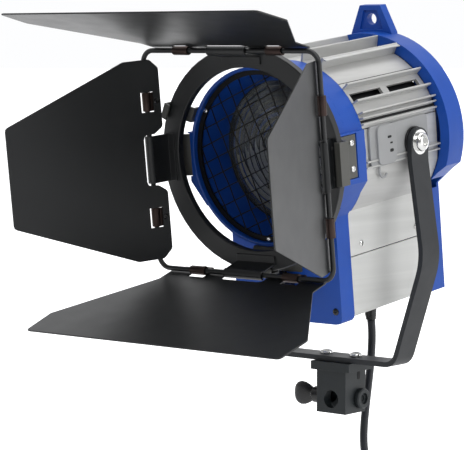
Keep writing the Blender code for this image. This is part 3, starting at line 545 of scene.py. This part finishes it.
def merged(name, meshes):
    builder = bmesh.new()
    for mesh in meshes:
        builder.from_mesh(mesh)
        bpy.data.meshes.remove(mesh)
    result = bpy.data.meshes.new(name)
    builder.to_mesh(result)
    builder.free()
    return result


def carved(mesh, cutters):
    """The mesh with other meshes cut out of it."""
    body = bpy.data.objects.new("carved", mesh)
    SCENE.collection.objects.link(body)
    tools = []
    for cutter in cutters:
        tool = bpy.data.objects.new("cutter", cutter)
        SCENE.collection.objects.link(tool)
        tools.append(tool)
        modifier = body.modifiers.new("cut", "BOOLEAN")
        modifier.operation = "DIFFERENCE"
        modifier.object = tool
    bpy.context.view_layer.update()
    graph = bpy.context.evaluated_depsgraph_get()
    result = bpy.data.meshes.new_from_object(body.evaluated_get(graph))
    for obj in (body, *tools):
        bpy.data.objects.remove(obj)
    return result


def arc(radius, start, end, steps, centre=(0.0, 0.0)):
    angles = [math.radians(start + (end - start) * i / steps) for i in range(steps + 1)]
    return [(centre[0] + radius * math.cos(a), centre[1] + radius * math.sin(a)) for a in angles]


def rectangle(x, y, corner=0.0, centre=(0.0, 0.0), steps=5):
    """A centred rectangle of half sizes x and y, with round corners."""
    if not corner:
        points = [(x, y), (-x, y), (-x, -y), (x, -y)]
        return [(centre[0] + px, centre[1] + py) for px, py in points]
    loop = []
    for turn, (sx, sy) in zip((0, 90, 180, 270), ((1, 1), (-1, 1), (-1, -1), (1, -1))):
        at = (centre[0] + sx * (x - corner), centre[1] + sy * (y - corner))
        loop += arc(corner, turn, turn + 90, steps, at)
    return loop


def piece(name, mesh, body, slot, width=0.0, segments=2, replaces=(), finish=None, angle=35):
    """Put a mesh in the scene as a piece of a body, with rounded edges of a width in millimetres."""
    mesh.materials.clear()
    mesh.materials.append(finish or LOOKS[slot])
    mesh.shade_smooth()
    mesh.set_sharp_from_angle(angle=math.radians(angle))
    obj = bpy.data.objects.new(name, mesh)
    SCENE.collection.objects.link(obj)
    if width:
        round_edges(obj, width, segments, angle)
    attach(obj, body)
    if replaces:
        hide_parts(*replaces)
    return obj


def round_edges(obj, width, segments, angle):
    modifier = obj.modifiers.new("rounded_edges", "BEVEL")
    modifier.width = width * MM
    modifier.segments = segments
    modifier.limit_method = "ANGLE"
    modifier.angle_limit = math.radians(angle)
    modifier.use_clamp_overlap = True
    modifier.harden_normals = True


def cad_copy(node):
    """The welded mesh of a CAD node, its flat faces merged again."""
    builder = bmesh.new()
    builder.from_mesh(frame["nodes"][node].data)
    bmesh.ops.remove_doubles(builder, verts=builder.verts, dist=1e-6)
    bmesh.ops.dissolve_limit(
        builder, angle_limit=math.radians(0.6), verts=builder.verts, edges=builder.edges
    )
    mesh = bpy.data.meshes.new(node)
    builder.to_mesh(mesh)
    builder.free()
    if "custom_normal" in mesh.attributes:
        mesh.attributes.remove(mesh.attributes["custom_normal"])
    return mesh


def refined(node, width, segments=2, extra=(), angle=35):
    """A CAD node shown with rounded edges and any extra meshes, in its own slot's finish."""
    body = frame["nodes"][node]["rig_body"]
    mesh = cad_copy(node)
    if extra:
        mesh = merged(node, [mesh, *extra])
    return piece(node + "_finished", mesh, body, SLOT_OF[node], width, segments, [node], angle=angle)


SLOT_OF = {row["node"]: row["material_slot"] for row in frame["record"]["subparts"]}


# Mains cord

CORD_DIAMETER = 6.4
CORD_ROUTE = (
    (0.0, 39.5, 68.6),
    (0.0, 40.4, 62.5),
    (0.0, 40.8, 55.0),
    (0.0, 40.4, 46.0),
    (0.0, 39.4, 36.0),
    (0.0, 38.0, 26.5),
    (0.0, 36.1, 16.0),
    (0.0, 34.1, 5.5),
    (0.1, 32.2, -4.5),
    (0.3, 30.5, -14.0),
    (0.9, 29.1, -23.0),
    (2.0, 28.1, -31.5),
    (3.8, 27.5, -39.5),
    (6.5, 27.2, -47.2),
    (10.6, 27.2, -54.6),
    (16.2, 27.2, -61.3),
    (22.6, 27.2, -67.6),
    (29.4, 27.2, -75.0),
    (35.6, 27.3, -83.6),
    (40.2, 27.4, -94.6),
)
TAIL_ROUTE = (
    (29.4, 60.7, -116.0),
    (29.4, 60.7, -124.0),
    (29.4, 60.8, -132.0),
    (29.4, 60.9, -140.0),
    (29.4, 60.9, -148.0),
    (29.4, 60.8, -156.0),
    (29.4, 60.7, -164.0),
)
COIL_CENTRE_Z = -108.0
COIL_LAYERS = (42.6, 36.0, 29.4)
COIL_TURNS = 4
COIL_SIDES_Y = (27.4, 53.8)
PLUG_X, PLUG_Y, PLUG_TOP = TAIL_ROUTE[-1]
TAIL_Y = PLUG_Y


def ease(value, low, high):
    share = min(max((value - low) / (high - low), 0.0), 1.0)
    return share * share * (3 - 2 * share)


def mixed(low, high, share):
    return low + (high - low) * share


def smooth_route(points, per_span):
    """A Catmull-Rom curve through points."""
    padded = [Vector(point) for point in (points[0], *points, points[-1])]
    route = []
    for a, b, c, d in zip(padded, padded[1:], padded[2:], padded[3:]):
        for step in range(per_span):
            t = step / per_span
            route.append(
                0.5 * (2 * b + (c - a) * t + (2 * a - 5 * b + 4 * c - d) * t**2
                       + (3 * b - a - 3 * c + d) * t**3)
            )
    route.append(Vector(points[-1]))
    return route


def coil_route(per_turn):
    """Layers wound inwards, each running across the coil and the next one back."""
    route = []
    inner = (*COIL_LAYERS[1:], COIL_LAYERS[-1])
    last = len(COIL_LAYERS) * COIL_TURNS
    for layer, radius in enumerate(COIL_LAYERS):
        start, end = COIL_SIDES_Y if layer % 2 == 0 else reversed(COIL_SIDES_Y)
        for step in range(COIL_TURNS * per_turn):
            turn = step / per_turn
            reach = mixed(radius, inner[layer], ease(turn, COIL_TURNS - 0.4, COIL_TURNS))
            y = mixed(start, end, min(turn / (COIL_TURNS - 0.25), 1.0))
            y = mixed(y, TAIL_Y, ease(layer * COIL_TURNS + turn, last - 0.7, last))
            angle = -2 * math.pi * turn
            route.append((reach * math.cos(angle), y, COIL_CENTRE_Z + reach * math.sin(angle)))
    route.append((COIL_LAYERS[-1], TAIL_Y, COIL_CENTRE_Z))
    return route


# Fasteners


def screw(base, radius, height, drive="cross", steps=24):
    """A dome head on the frame's Z = 0 plane, with its drive recess."""
    flat = radius * 0.45
    profile = [(0, -1.0), (radius * 0.9, -1.0), (radius, 0), (radius, height * 0.35)]
    profile += [
        (flat + (radius - flat) * math.cos(a), height * (0.35 + 0.65 * math.sin(a)))
        for a in (math.radians(d) for d in (25, 50, 75))
    ]
    profile += [(flat, height), (0, height)]
    head = lathe("head", profile, base, steps)
    deep = height * 0.55
    if drive == "hex":
        cutter = lathe("socket", [(0, height - deep), (radius * 0.5, height - deep),
                                  (radius * 0.5, height + 1), (0, height + 1)], base, 6)
        return carved(head, [cutter])
    arms = [(radius * 0.62, radius * 0.11)]
    if drive == "cross":
        arms.append((radius * 0.11, radius * 0.62))
    cutters = [block("slot", (-x, -y, height - deep), (x, y, height + 1), base) for x, y in arms]
    return carved(head, cutters)


def washer(base, inner, outer, thickness):
    profile = [(inner, 0), (outer, 0), (outer, thickness), (inner, thickness)]
    return lathe("washer", profile, base, 32, closed=True)


# Lamphouse

SHELL_Y = (54.3, 149.7)
# Angle, radius of the tip and width of each fin
FINS = (
    (-10.8, 68.6, 1.2),
    (-7.2, 68.6, 1.2),
    (16.6, 69.5, 1.2),
    (20.4, 71.0, 1.2),
    (23.6, 72.5, 1.2),
    (31.2, 73.0, 1.4),
    (42.7, 73.5, 1.4),
    (64.5, 76.0, 1.6),
    (78.8, 76.0, 1.6),
)
LIPPED_FIN = 64.5
# Angle and half width of each seam
SEAMS = (
    (18.6, 1.0),
    (14.0, 0.25),
    (47.0, 0.2),
)


def make_shell():
    """Ribbed skin from the CAD node, with beads on the fins' tips and dark seams along it."""
    extras = []
    low, high = SHELL_Y[0] + 0.05, SHELL_Y[1] - 0.05
    for side in (0, 1):
        for angle, tip, width in FINS:
            base = spoke(180 - angle if side else angle)
            extras.append(
                sweep("bead", [(tip - 0.45, low, 0), (tip - 0.45, high, 0)], width * 0.5 + 0.12, base, 10)
            )
        base = spoke(180 - LIPPED_FIN if side else LIPPED_FIN)
        turn = -1 if side else 1
        edges = sorted((turn * 0.4, turn * -3.6))
        extras.append(block("lip", (75.0, low, edges[0]), (75.95, high, edges[1]), base))
    refined("shell", 0.35, extra=extras).data.materials[0] = SHELL_LOOK
    for side, word in ((0, "right"), (1, "left")):
        seams = []
        for angle, half in SEAMS:
            base = spoke(180 - angle if side else angle)
            seams.append(block("seam", (66.9, low, -half), (67.62, high, half), base))
        seam_mesh = merged("seams", seams)
        piece("shell_seams_" + word, seam_mesh, "lamphouse", "lamp_aluminium", finish=SEAM_AND_SLOT_SHADE_LOOK)


BOX_SCREW_X = 44.7
BOX_SCREW_Z = -118.5
REAR_FACE_Y = 170.05
REAR_SCREWS = ((-44, -116), (44, -116), (-46, 40), (46, 40))


def make_castings():
    """The two blue castings with their screws, and the step and blank plate on the front one."""
    front = cad_copy("front_casting")
    recesses = [
        lathe("hole", [(0, 0.5), (1.7, 0.5), (3.2, -1.5), (3.2, -4), (0, -4)],
              facing(LAMP, side * BOX_SCREW_X, 34.6, BOX_SCREW_Z, "Y"), 20)
        for side in (-1, 1)
    ]
    front = carved(front, recesses)
    piece("front_casting_finished", front, "lamphouse", "lamp_blue", 0.8, 3, ["front_casting"], angle=32)
    pocket = plate("pocket", [[(-11, 78), (11, 78), (6.2, 93), (-6.2, 93)]], 3.0,
                   facing(LAMP, 0, 162.5, 0, "-Y"))
    rear = carved(cad_copy("rear_casting"), [pocket])
    piece("rear_casting_finished", rear, "lamphouse", "lamp_blue", 0.8, 3, ["rear_casting"], angle=32)
    # The two front screw heads sit in carved recesses; their black moulding finish is painted shade for the
    # dark recessed holes
    dark = [
        screw(facing(LAMP, side * BOX_SCREW_X, 34.4, BOX_SCREW_Z, "-Y"), 2.7, 1.6)
        for side in (-1, 1)
    ]
    piece("box_screws", merged("box_screws", dark), "lamphouse", "knob_black", 0.15)
    screws = []
    for x, z in REAR_SCREWS:
        screws.append(screw(facing(LAMP, x, REAR_FACE_Y, z, "Y"), 2.9, 1.7))
    piece("casting_screws", merged("casting_screws", screws), "lamphouse", "bright_steel", 0.15)
    ring = [(64.9, 14.05), (65.7, 13.7), (66.6, 14.05)]
    piece("bezel_step", lathe("bezel_step", ring, LENS_AXIS, 128, closed=True), "lamphouse", "lamp_blue")
    badge = plate("name_plate", [rectangle(16, 4.2, 1.4)], 0.8, facing(LAMP, 0, 33.7, -86, "-Y"))
    piece("blank_plate", badge, "lamphouse", "clip_grey", 0.2)


SKIRT_X = 49.65
SKIRT_SCREWS = ((64.5, -71.7), (136, -71.7))
STRIP_X = (48.8, 50.2)
STRIP_Y = (50.4, 149.6)
STRIP_Z = (-47.8, -44.8)


def make_covers():
    """Lower cover and side panels with their screws, and a strip that closes each panel's top."""
    refined("lower_cover", 0.5)
    for side, word in ((-1, "left"), (1, "right")):
        refined("side_skirt_" + word, 0.3)
        out = "X" if side > 0 else "-X"
        heads = [
            screw(facing(LAMP, side * SKIRT_X, y, z, out), 2.5, 1.3)
            for y, z in SKIRT_SCREWS
        ]
        piece("panel_screws_" + word, merged("panel_screws", heads), "lamphouse", "bright_steel", 0.12)
        near, far = sorted(side * x for x in STRIP_X)
        strip = block("strip", (near, STRIP_Y[0], STRIP_Z[0]), (far, STRIP_Y[1], STRIP_Z[1]), LAMP)
        piece("panel_strip_" + word, strip, "lamphouse", "lamp_aluminium", 0.2)


# Place and half sizes of each slot in the pivot brackets
BRACKET_SLOTS = (
    (82.0, 6.9, 0.9, 2.4),
    (84.0, 2.2, 0.6, 1.6),
    (84.0, -3.5, 1.2, 2.2),
)
HOOK_X = 66.3
HOOK_ROUTE = ((70.7, -14.4), (71.0, -19.5), (73.2, -22.2), (77, -22.6), (79.5, -20.5))


def make_pivots():
    """Brackets of both sides with their slots and hooks, and the right side's bolt head."""
    for side, word in ((-1, "left"), (1, "right")):
        out = "X" if side > 0 else "-X"
        refined("pivot_bracket_" + word, 0.6)
        refined("friction_washer_" + word, 0.4)
        # Each slot is a thin near-black sheet on the bracket's face: painted shade in place of the slot's
        # recess
        slots = [
            plate("slot", [rectangle(high, long, high * 0.9)], 0.3, facing(LAMP, side * 69.3, y, z, out))
            for y, z, high, long in BRACKET_SLOTS
        ]
        slot_mesh = merged("slots", slots)
        piece("bracket_slot_shade_" + word, slot_mesh, "lamphouse", "grey_casting", finish=SEAM_AND_SLOT_SHADE_LOOK)
        bends = [(side * HOOK_X, y, z) for y, z in HOOK_ROUTE]
        hook = sweep("hook", smooth_route(bends, 4), 0.95, LAMP, 10)
        piece("bracket_hook_" + word, hook, "lamphouse", "grey_casting")
    head = screw(facing(TILT, 73.9, 0, 0, "X"), 7.2, 4.6, "hex", 36)
    piece("pivot_bolt_head", head, "lamphouse", "bright_steel", 0.2, replaces=["pivot_bolt"])
    ring = washer(facing(TILT, 72.75, 0, 0, "X"), 4.0, 9.6, 1.1)
    piece("pivot_bolt_washer", ring, "stirrup", "bright_steel", 0.2)
    refined("tilt_stud", 0.3)


def make_accessory_clips():
    for word, angle in (("right", 0), ("left", 180), ("lower", 270)):
        refined("accessory_clip_" + word, 0.35)
        base = spoke(angle)
        seat = 69.25 if word == "lower" else 69.8
        heads = [screw(facing(base, seat, 33.6, across, "X"), 2.4, 1.2) for across in (-9.6, 9.6)]
        piece("clip_screws_" + word, merged("clip_screws", heads), "lamphouse", "bright_steel", 0.12)
    refined("latch_mount", 0.4)
    refined("ring_latch", 0.4)
    pin = screw(facing(spoke(155), 71.0, 38.0, 9.1, "Z"), 2.2, 1.2)
    piece("latch_pin_head", pin, "lamphouse", "bright_steel", 0.12)


GUARD_TURN = 23.0
GUARD_PITCH = 11.8
GUARD_WIRE_R = 0.5
GUARD_R = 63.0
GUARD_Y = 18.8
GUARD_SCREWS = (28, 148, 269)
GUARD_SCREW_R = 62.8


def make_guard():
    """Square wire mesh, turned a little on the lamp, held in a round frame."""
    rim = [(61.0, 17.7), (64.6, 17.7), (64.8, 18.2), (64.8, 19.7), (61.0, 19.7)]
    frame_ring = lathe("guard_ring", rim, LENS_AXIS, 128, closed=True)
    turned = turned_by(moved(LAMP, y=GUARD_Y), -GUARD_TURN, "Y")
    wires = []
    for row in range(-5, 6):
        offset = (row + 0.35) * GUARD_PITCH
        if abs(offset) > GUARD_R - 4:
            continue
        half = math.sqrt(GUARD_R**2 - offset**2)
        count = max(4, int(half / 3))
        for flip in (0, 1):
            path = []
            for i in range(-count, count + 1):
                along = half * i / count
                wave = 0.35 * math.cos(math.pi * (along / GUARD_PITCH - 0.35)) * (1 if row % 2 else -1)
                path.append((offset, wave, along) if flip else (along, -wave, offset))
            wires.append(sweep("wire", path, GUARD_WIRE_R, turned, 8))
    mesh = merged("guard", [frame_ring, *wires])
    piece("wire_guard_mesh", mesh, "lamphouse", "guard_black", replaces=["wire_guard"])
    heads = []
    for angle in GUARD_SCREWS:
        a = math.radians(angle)
        at = facing(LAMP, GUARD_SCREW_R * math.cos(a), 17.7, GUARD_SCREW_R * math.sin(a), "-Y")
        heads.append(screw(at, 1.9, 0.9, "slot"))
    piece("guard_screws", merged("guard_screws", heads), "lamphouse", "bright_steel", 0.1)


LENS_RINGS = 11
LENS_FRONT = 42.4
LENS_BACK = 51.7
LENS_EDGE = 55.9
LENS_STEP = 2.6


def make_lens():
    """Stepped lens: each ring slopes towards the middle and drops to the next."""
    profile = [(0, LENS_BACK), (LENS_EDGE, LENS_BACK), (LENS_EDGE, LENS_FRONT + 2.4)]
    width = (LENS_EDGE - 1.5) / LENS_RINGS
    for ring in reversed(range(LENS_RINGS)):
        inner, outer = ring * width, (ring + 1) * width
        rise = min(LENS_STEP, 0.35 + 0.2 * ring)
        crest = LENS_FRONT + 0.25
        foot = crest + rise
        for i in range(6):
            share = 1 - i / 5
            profile.append((max(mixed(inner, outer, share), 0.35), mixed(crest, foot, share**1.5)))
    profile.append((0, LENS_FRONT + 0.25))
    piece("fresnel_lens_rings", lathe("lens", profile, LENS_AXIS, 128), "lamphouse", "lens_glass",
          replaces=["fresnel_lens"], angle=28)
    refined("lens_ring", 0.25)


SHIELD_R = (60.8, 61.4)
SHIELD_ARC = (172, 368)
SHIELD_LONG = 91.0


def make_vent_shade_liner():
    """Dark half tube inside the shell, behind the vents: painted shade, so that the inside shows dark through
    the vents.
    """
    inner, outer = (arc(radius, *SHIELD_ARC, 48) for radius in SHIELD_R)
    outline = [*outer, *reversed(inner)]
    shield = plate("shield", [outline], SHIELD_LONG, facing(LAMP, 0, 102.0, 0, "Y"))
    piece("vent_shade_liner", shield, "lamphouse", "guard_black")


SPINDLE_Z = -100
KNOB_FLUTES = 24


def make_drive():
    """Focus spindle and its two fluted knobs, each with a raised pointer."""
    refined("focus_spindle", 0.2)
    knobs = (
        ("focus_knob_front", facing(LAMP, 0, 33.6, SPINDLE_Z, "-Y"), 11.0, 15.6),
        ("focus_knob_rear", facing(LAMP, 0, 170.4, SPINDLE_Z, "Y"), 14.0, 14.6),
    )
    for node, base, radius, height in knobs:
        profile = [
            (3.0, 0.0),
            (radius * 0.72, 0.0),
            (radius * 0.78, 1.6),
            (radius - 0.5, 2.6, 1),
            (radius - 0.05, 3.4, 1),
            (radius - 0.05, height - 2.2, 1),
            (radius - 0.9, height - 0.8, 1),
            (radius - 2.2, height - 0.1),
            (radius * 0.5, height - 0.05),
            (radius * 0.46, height - 0.8),
            (0, height - 0.9),
        ]
        body = lathe(node, profile, base, 144, ripple=(KNOB_FLUTES, 0.75))
        low, high = (-0.6, radius * 0.52, height - 0.9), (0.6, radius - 2.4, height + 0.05)
        knob = merged(node, [body, block("pointer", low, high, base)])
        piece(node + "_finished", knob, "focus_drive", "knob_black", replaces=[node])


LAMP_Y = 100.0
CAPSULE = (
    (0, 22.0),
    (1.1, 21.4),
    (3.0, 19.4),
    (5.6, 16.4),
    (6.8, 12.0),
    (6.9, 4),
    (6.9, -10),
    (5.4, -14),
    (3.2, -18.6),
    (0, -18.6),
)
FILAMENT_R = 2.2
FILAMENT_TURNS = 9


def make_inside():
    """Rails, carriage, holder and reflector from the CAD, and the lamp with its filament."""
    for node in ("guide_rail_left", "guide_rail_right", "lamp_carriage", "lamp_holder", "terminal_block"):
        refined(node, 0.4)
    refined("reflector", 0.3)
    at = moved(LAMP, y=LAMP_Y)
    glass = lathe("capsule", CAPSULE, at, 40)
    piece("halogen_capsule", glass, "carriage", "lamp_glass", replaces=["halogen_lamp"])
    steps = FILAMENT_TURNS * 8
    coil = []
    for i in range(steps + 1):
        a = 2 * math.pi * i / 8
        coil.append((FILAMENT_R * math.cos(a), FILAMENT_R * math.sin(a), mixed(-4, 6, i / steps)))
    legs = [
        [(-2.2, 0, -14.2), (-2.2, 0, -6), (2.2, 0, -4)],
        [(2.2, 0, 6), (2.6, 0, -4), (2.6, 0, -14.2)],
    ]
    parts = [sweep("filament", coil, 0.3, at, 6)] + [sweep("leg", leg, 0.3, at, 6) for leg in legs]
    piece("filament", merged("filament", parts), "carriage", "bright_steel")


GLAND_Y = 137


def make_gland():
    """Ribbed strain relief under a hexagonal nut."""
    base = facing(LAMP, 0, GLAND_Y, 0, "-Z")
    hexagon = [(4.4, 126.75), (8.6, 126.75), (9.0, 127.2), (9.0, 132.2), (8.4, 133.0), (4.4, 133.0)]
    nut = lathe("nut", hexagon, base, 6)
    taper = [(0, 126.8), (5.0, 126.8), (6.2, 133.0), (6.2, 134.2)]
    taper += [(mixed(6.0, 4.3, i / 5) - 0.12 * (i % 2), mixed(135, 148.6, i / 5)) for i in range(6)]
    taper += [(4.1, 149.9), (3.3, 150.0), (3.3, 146), (0, 146)]
    sleeve = lathe("sleeve", taper, base, 36)
    piece("cable_gland_finished", merged("gland", [nut, sleeve]), "lamphouse", SLOT_OF["cable_gland"], 0.25,
          replaces=["cable_gland"])


# Barn door

ROD_HALF = 82.8
ROD_CORNER = 10.0
ROD_R = 1.9
ROD_Y = -15.1
LEAF_OFFSET = {"right": -3.1, "top": 3.1, "left": -3.1, "bottom": 3.1}
LEAF_T = 1.2
LEAF_REST = {"right": 19.7, "top": 18.4, "left": 26.6, "bottom": 12.3}
CLIP_U = 44.0
CLIP_SCREW_Y = 6.4


def leaf_frame(word):
    """Origin on the hinge rod, Y towards the lamp along the leaf, X outwards, Z along the rod."""
    return turned_by(moved(spoke(LEAF_ANGLES[word]), ROD_HALF, ROD_Y, 0), LEAF_REST[word], "Z")


def make_rods():
    corners = []
    for turn, (sx, sz) in zip((0, 90, 180, 270), ((1, 1), (-1, 1), (-1, -1), (1, -1))):
        at = (sx * (ROD_HALF - ROD_CORNER), sz * (ROD_HALF - ROD_CORNER))
        corners += arc(ROD_CORNER, turn, turn + 90, 10, at)
    path = [(x, ROD_Y, z) for x, z in corners]
    piece("rod_square", sweep("rods", path, ROD_R, LAMP, 20, closed=True), "barndoor", SLOT_OF["rod_frame"],
          replaces=["rod_frame"])


def make_door_ring():
    refined("door_ring", 0.5)
    heads = []
    for angle in (0, 90, 180, 270):
        for across in (-11, 11):
            heads.append(screw(facing(spoke(angle), 76.5, 0.0, across, "-Y"), 2.0, 1.0))
    piece("ring_rivets", merged("ring_rivets", heads), "barndoor", "door_black", 0.12)


def make_leaf(word):
    node = "leaf_" + word
    refined(node, 0.35)
    base = leaf_frame(word)
    way = math.copysign(1, LEAF_OFFSET[word])
    near, far = ("-X", "X") if way > 0 else ("X", "-X")
    for index, u in ((1, -CLIP_U), (2, CLIP_U)):
        clip = "leaf_clip_%s_%d" % (word, index)
        refined(clip, 0.3)
        base_clip = facing(base, 0, 0, u, "Z")
        roll = [(2.25, -7.1), (3.2, -7.1), (3.35, -6.6), (3.35, 6.6), (3.2, 7.1), (2.25, 7.1)]
        sleeve = lathe("roll", roll, base_clip, 32, closed=True)
        piece(clip + "_roll", sleeve, node, SLOT_OF[clip])
        heads = [
            screw(facing(base, 1.05 * way, CLIP_SCREW_Y, u, near), 2.1, 1.3, "slot"),
            screw(facing(base, LEAF_OFFSET[word] + LEAF_T / 2 * way, CLIP_SCREW_Y, u, far), 2.1, 1.1, "slot"),
        ]
        piece(clip + "_rivets", merged("rivets", heads), node, "knob_black", 0.12)


# Stirrup and stand socket


CLAMP_HEAD = (
    (0, -0.25),
    (7.2, -0.25),
    (8.0, 0.5),
    (8.0, 3.1),
    (7.1, 4.0),
    (4.4, 4.0),
    (4.3, 2.0),
    (0, 2.0),
)


def make_socket():
    refined("socket_block", 1.2, 3)
    refined("cap_plate", 0.8, 3)
    refined("stirrup", 0.9, 3, angle=30)
    for side, word in ((-1, "left"), (1, "right")):
        head = screw(facing(WORLD, side * 14.2, 0, 44.65, "Z"), 5.0, 3.2, "hex", 32)
        piece("strap_bolt_head_" + word, head, "stirrup", SLOT_OF["strap_bolt_" + word], 0.2,
              replaces=["strap_bolt_" + word])
    at = facing(WORLD, 14.3, 6, 11, "X")
    head = lathe("clamp", CLAMP_HEAD, at, 48)
    socket = lathe("drive", [(0, 1.0), (2.6, 1.0), (2.6, 5), (0, 5)], at, 6)
    piece("clamp_screw_head", carved(head, [socket]), "stirrup", SLOT_OF["clamp_screw"], 0.25,
          replaces=["clamp_screw"])
    # The slot is a thin near-black sheet on the socket block: painted shade in place of the open notch
    slot = plate("slot", [rectangle(3.6, 1.6, 1.5)], 0.3, facing(WORLD, 14.0, 4, 29.6, "X"))
    piece("socket_slot_shade", slot, "stirrup", "socket_black", finish=SEAM_AND_SLOT_SHADE_LOOK)
    rim = [(8.1, -0.02), (9.2, -0.02), (9.2, 0.35), (8.1, 0.35)]
    piece("socket_bore_rim", lathe("rim", rim, WORLD, 48, closed=True), "stirrup", "bright_steel", 0.1)


WING = (
    (9.0, 3.4, 2.6),
    (12.5, 4.9, 2.9),
    (16.5, 7.4, 2.9),
    (20.5, 9.0, 2.7),
    (24.5, 9.4, 2.4),
    (28.0, 8.2, 1.9),
    (30.2, 5.8, 1.4),
    (31.2, 2.6, 0.7),
)


def make_lock_handle():
    """Wing handle of the stand clamp, a thin tapered blade on a round hub."""
    base = facing(WORLD, -14.4, 0, 11, "-X")
    hub = lathe("hub", [(0, 0), (6.1, 0), (6.5, 0.5), (6.5, 10.5), (5.4, 12.0), (0, 12.0)], base, 40)
    handle = merged("handle", [hub, blade("wing", base, WING)])
    piece("lock_handle_finished", handle, "socket_lock", "knob_black", replaces=["lock_handle"])


LEVER_START = Vector((-82.8, 0, 0))
LEVER_END = Vector((-111.8, -24, -56))
LEVER_KNOB_R = 7.4


def make_tilt_lever():
    """Clamping lever on the left pivot: a round hub and an arm that widens to its end."""
    hub_frame = facing(TILT, -73.9, 0, 0, "-X")
    hub = [(0, 0), (8.6, 0), (9.6, 1.2), (10.0, 3.0), (9.8, 11.0), (8.2, 14.6), (5.0, 15.9), (0, 15.9)]
    along = (LEVER_END - LEVER_START).normalized()
    knob = LEVER_END - along * 7.5
    points = [LEVER_START.lerp(knob, i / 8) for i in range(9)]
    radii = [mixed(5.2, 6.6, i / 8) for i in range(9)]
    for degrees in (0, 25, 50, 70, 85):
        a = math.radians(degrees)
        points.append(knob + along * LEVER_KNOB_R * math.sin(a))
        radii.append(LEVER_KNOB_R * math.cos(a))
    arm = sweep("arm", points, radii, TILT, 28)
    mesh = merged("lever", [lathe("hub", hub, hub_frame, 48), arm])
    piece("tilt_lever_finished", mesh, "tilt_lever", "knob_black", replaces=["tilt_lock_lever"])


PLUG_SHELL = (
    (16.5, 8.0, 6.6),
    (19.0, 13.2, 8.4),
    (23.0, 16.4, 8.9),
    (36.0, 16.9, 8.95),
    (40.0, 16.6, 8.7),
)


def make_plug():
    """Moulded plug with a ribbed neck and two pins, hanging at the cord's end."""
    base = facing(WORLD, PLUG_X, PLUG_Y, PLUG_TOP - 0.2, "-Z")
    neck = [(3.3, 0.0), (4.3, 0.0)]
    for i in range(5):
        low = 0.6 + i * 3.6
        radius = mixed(4.4, 6.2, i / 4)
        neck += [(radius, low), (radius + 0.2, low + 2.2)]
        neck += [(radius - 0.6, low + 2.6), (radius - 0.5, low + 3.4)]
    neck += [(6.4, 19.0), (6.4, 22.0), (3.3, 22.0)]
    sleeve = lathe("neck", neck, base, 36, closed=True)
    shell = blade("shell", base, PLUG_SHELL)
    grips = [block("grip", (side * 16.2 - 0.5, -4.5, z), (side * 16.2 + 0.5, 4.5, z + 1.2), base)
             for side in (-1, 1) for z in (25, 28, 31, 34)]
    mesh = merged("plug", [sleeve, shell, *grips])
    body = piece("mains_plug_body", mesh, "stirrup", SLOT_OF["mains_plug"], replaces=["mains_plug"])
    pins = []
    for x in (-9.5, 9.5):
        at = moved(base, x)
        pins.append(lathe("pin", [(0, 39.5), (2.4, 39.5), (2.4, 57.4), (1.7, 58.8), (0, 58.8)], at, 28))
    metal = piece("mains_plug_pins", merged("pins", pins), "stirrup", "bright_steel")
    return [body, metal]


# Everything in its place


def make_free_cord(with_pieces):
    points = [Vector(point) for point in (*CORD_ROUTE, *coil_route(24), *TAIL_ROUTE)]
    route = smooth_route(points, 2)
    tube = sweep("mains_lead", route, CORD_DIAMETER / 2, WORLD, 14)
    tube.materials.append(LOOKS["cord_rubber"])
    tube.shade_smooth()
    cord = bpy.data.objects.new("mains_lead", tube)
    SCENE.collection.objects.link(cord)
    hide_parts("mains_cord", "cord_coil", "cord_tail")
    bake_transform(cord)


def make_coil_tie():
    """Hook-and-loop strap round one side of the coil."""
    y = sum(COIL_SIDES_Y) / 2
    z = COIL_CENTRE_Z + COIL_LAYERS[1]
    band = rectangle(18.0, 11.7, 4.0, (y, z), 6)
    inner = rectangle(16.7, 10.4, 3.0, (y, z), 6)
    base = turned_by(turned_by(WORLD, 90, "Z"), 90, "X")
    strap = plate("strap", [band, inner], 8.0, base)
    tag = block("tag", (-3.6, 50.0, z + 11.3), (3.6, 57.0, z + 11.75), WORLD)
    return piece("coil_tie_strap", merged("tie", [strap, tag]), "stirrup", SLOT_OF["coil_tie"], 0.3,
                 replaces=["coil_tie"])


make_camera()
make_studio()
make_floor()
make_free_cord([*make_plug(), make_coil_tie()])
make_shell()
make_castings()
make_covers()
make_pivots()
make_accessory_clips()
make_guard()
make_lens()
make_vent_shade_liner()
make_drive()
make_inside()
make_gland()
make_rods()
make_door_ring()
for word in LEAF_ANGLES:
    make_leaf(word)
make_socket()
make_lock_handle()
make_tilt_lever()
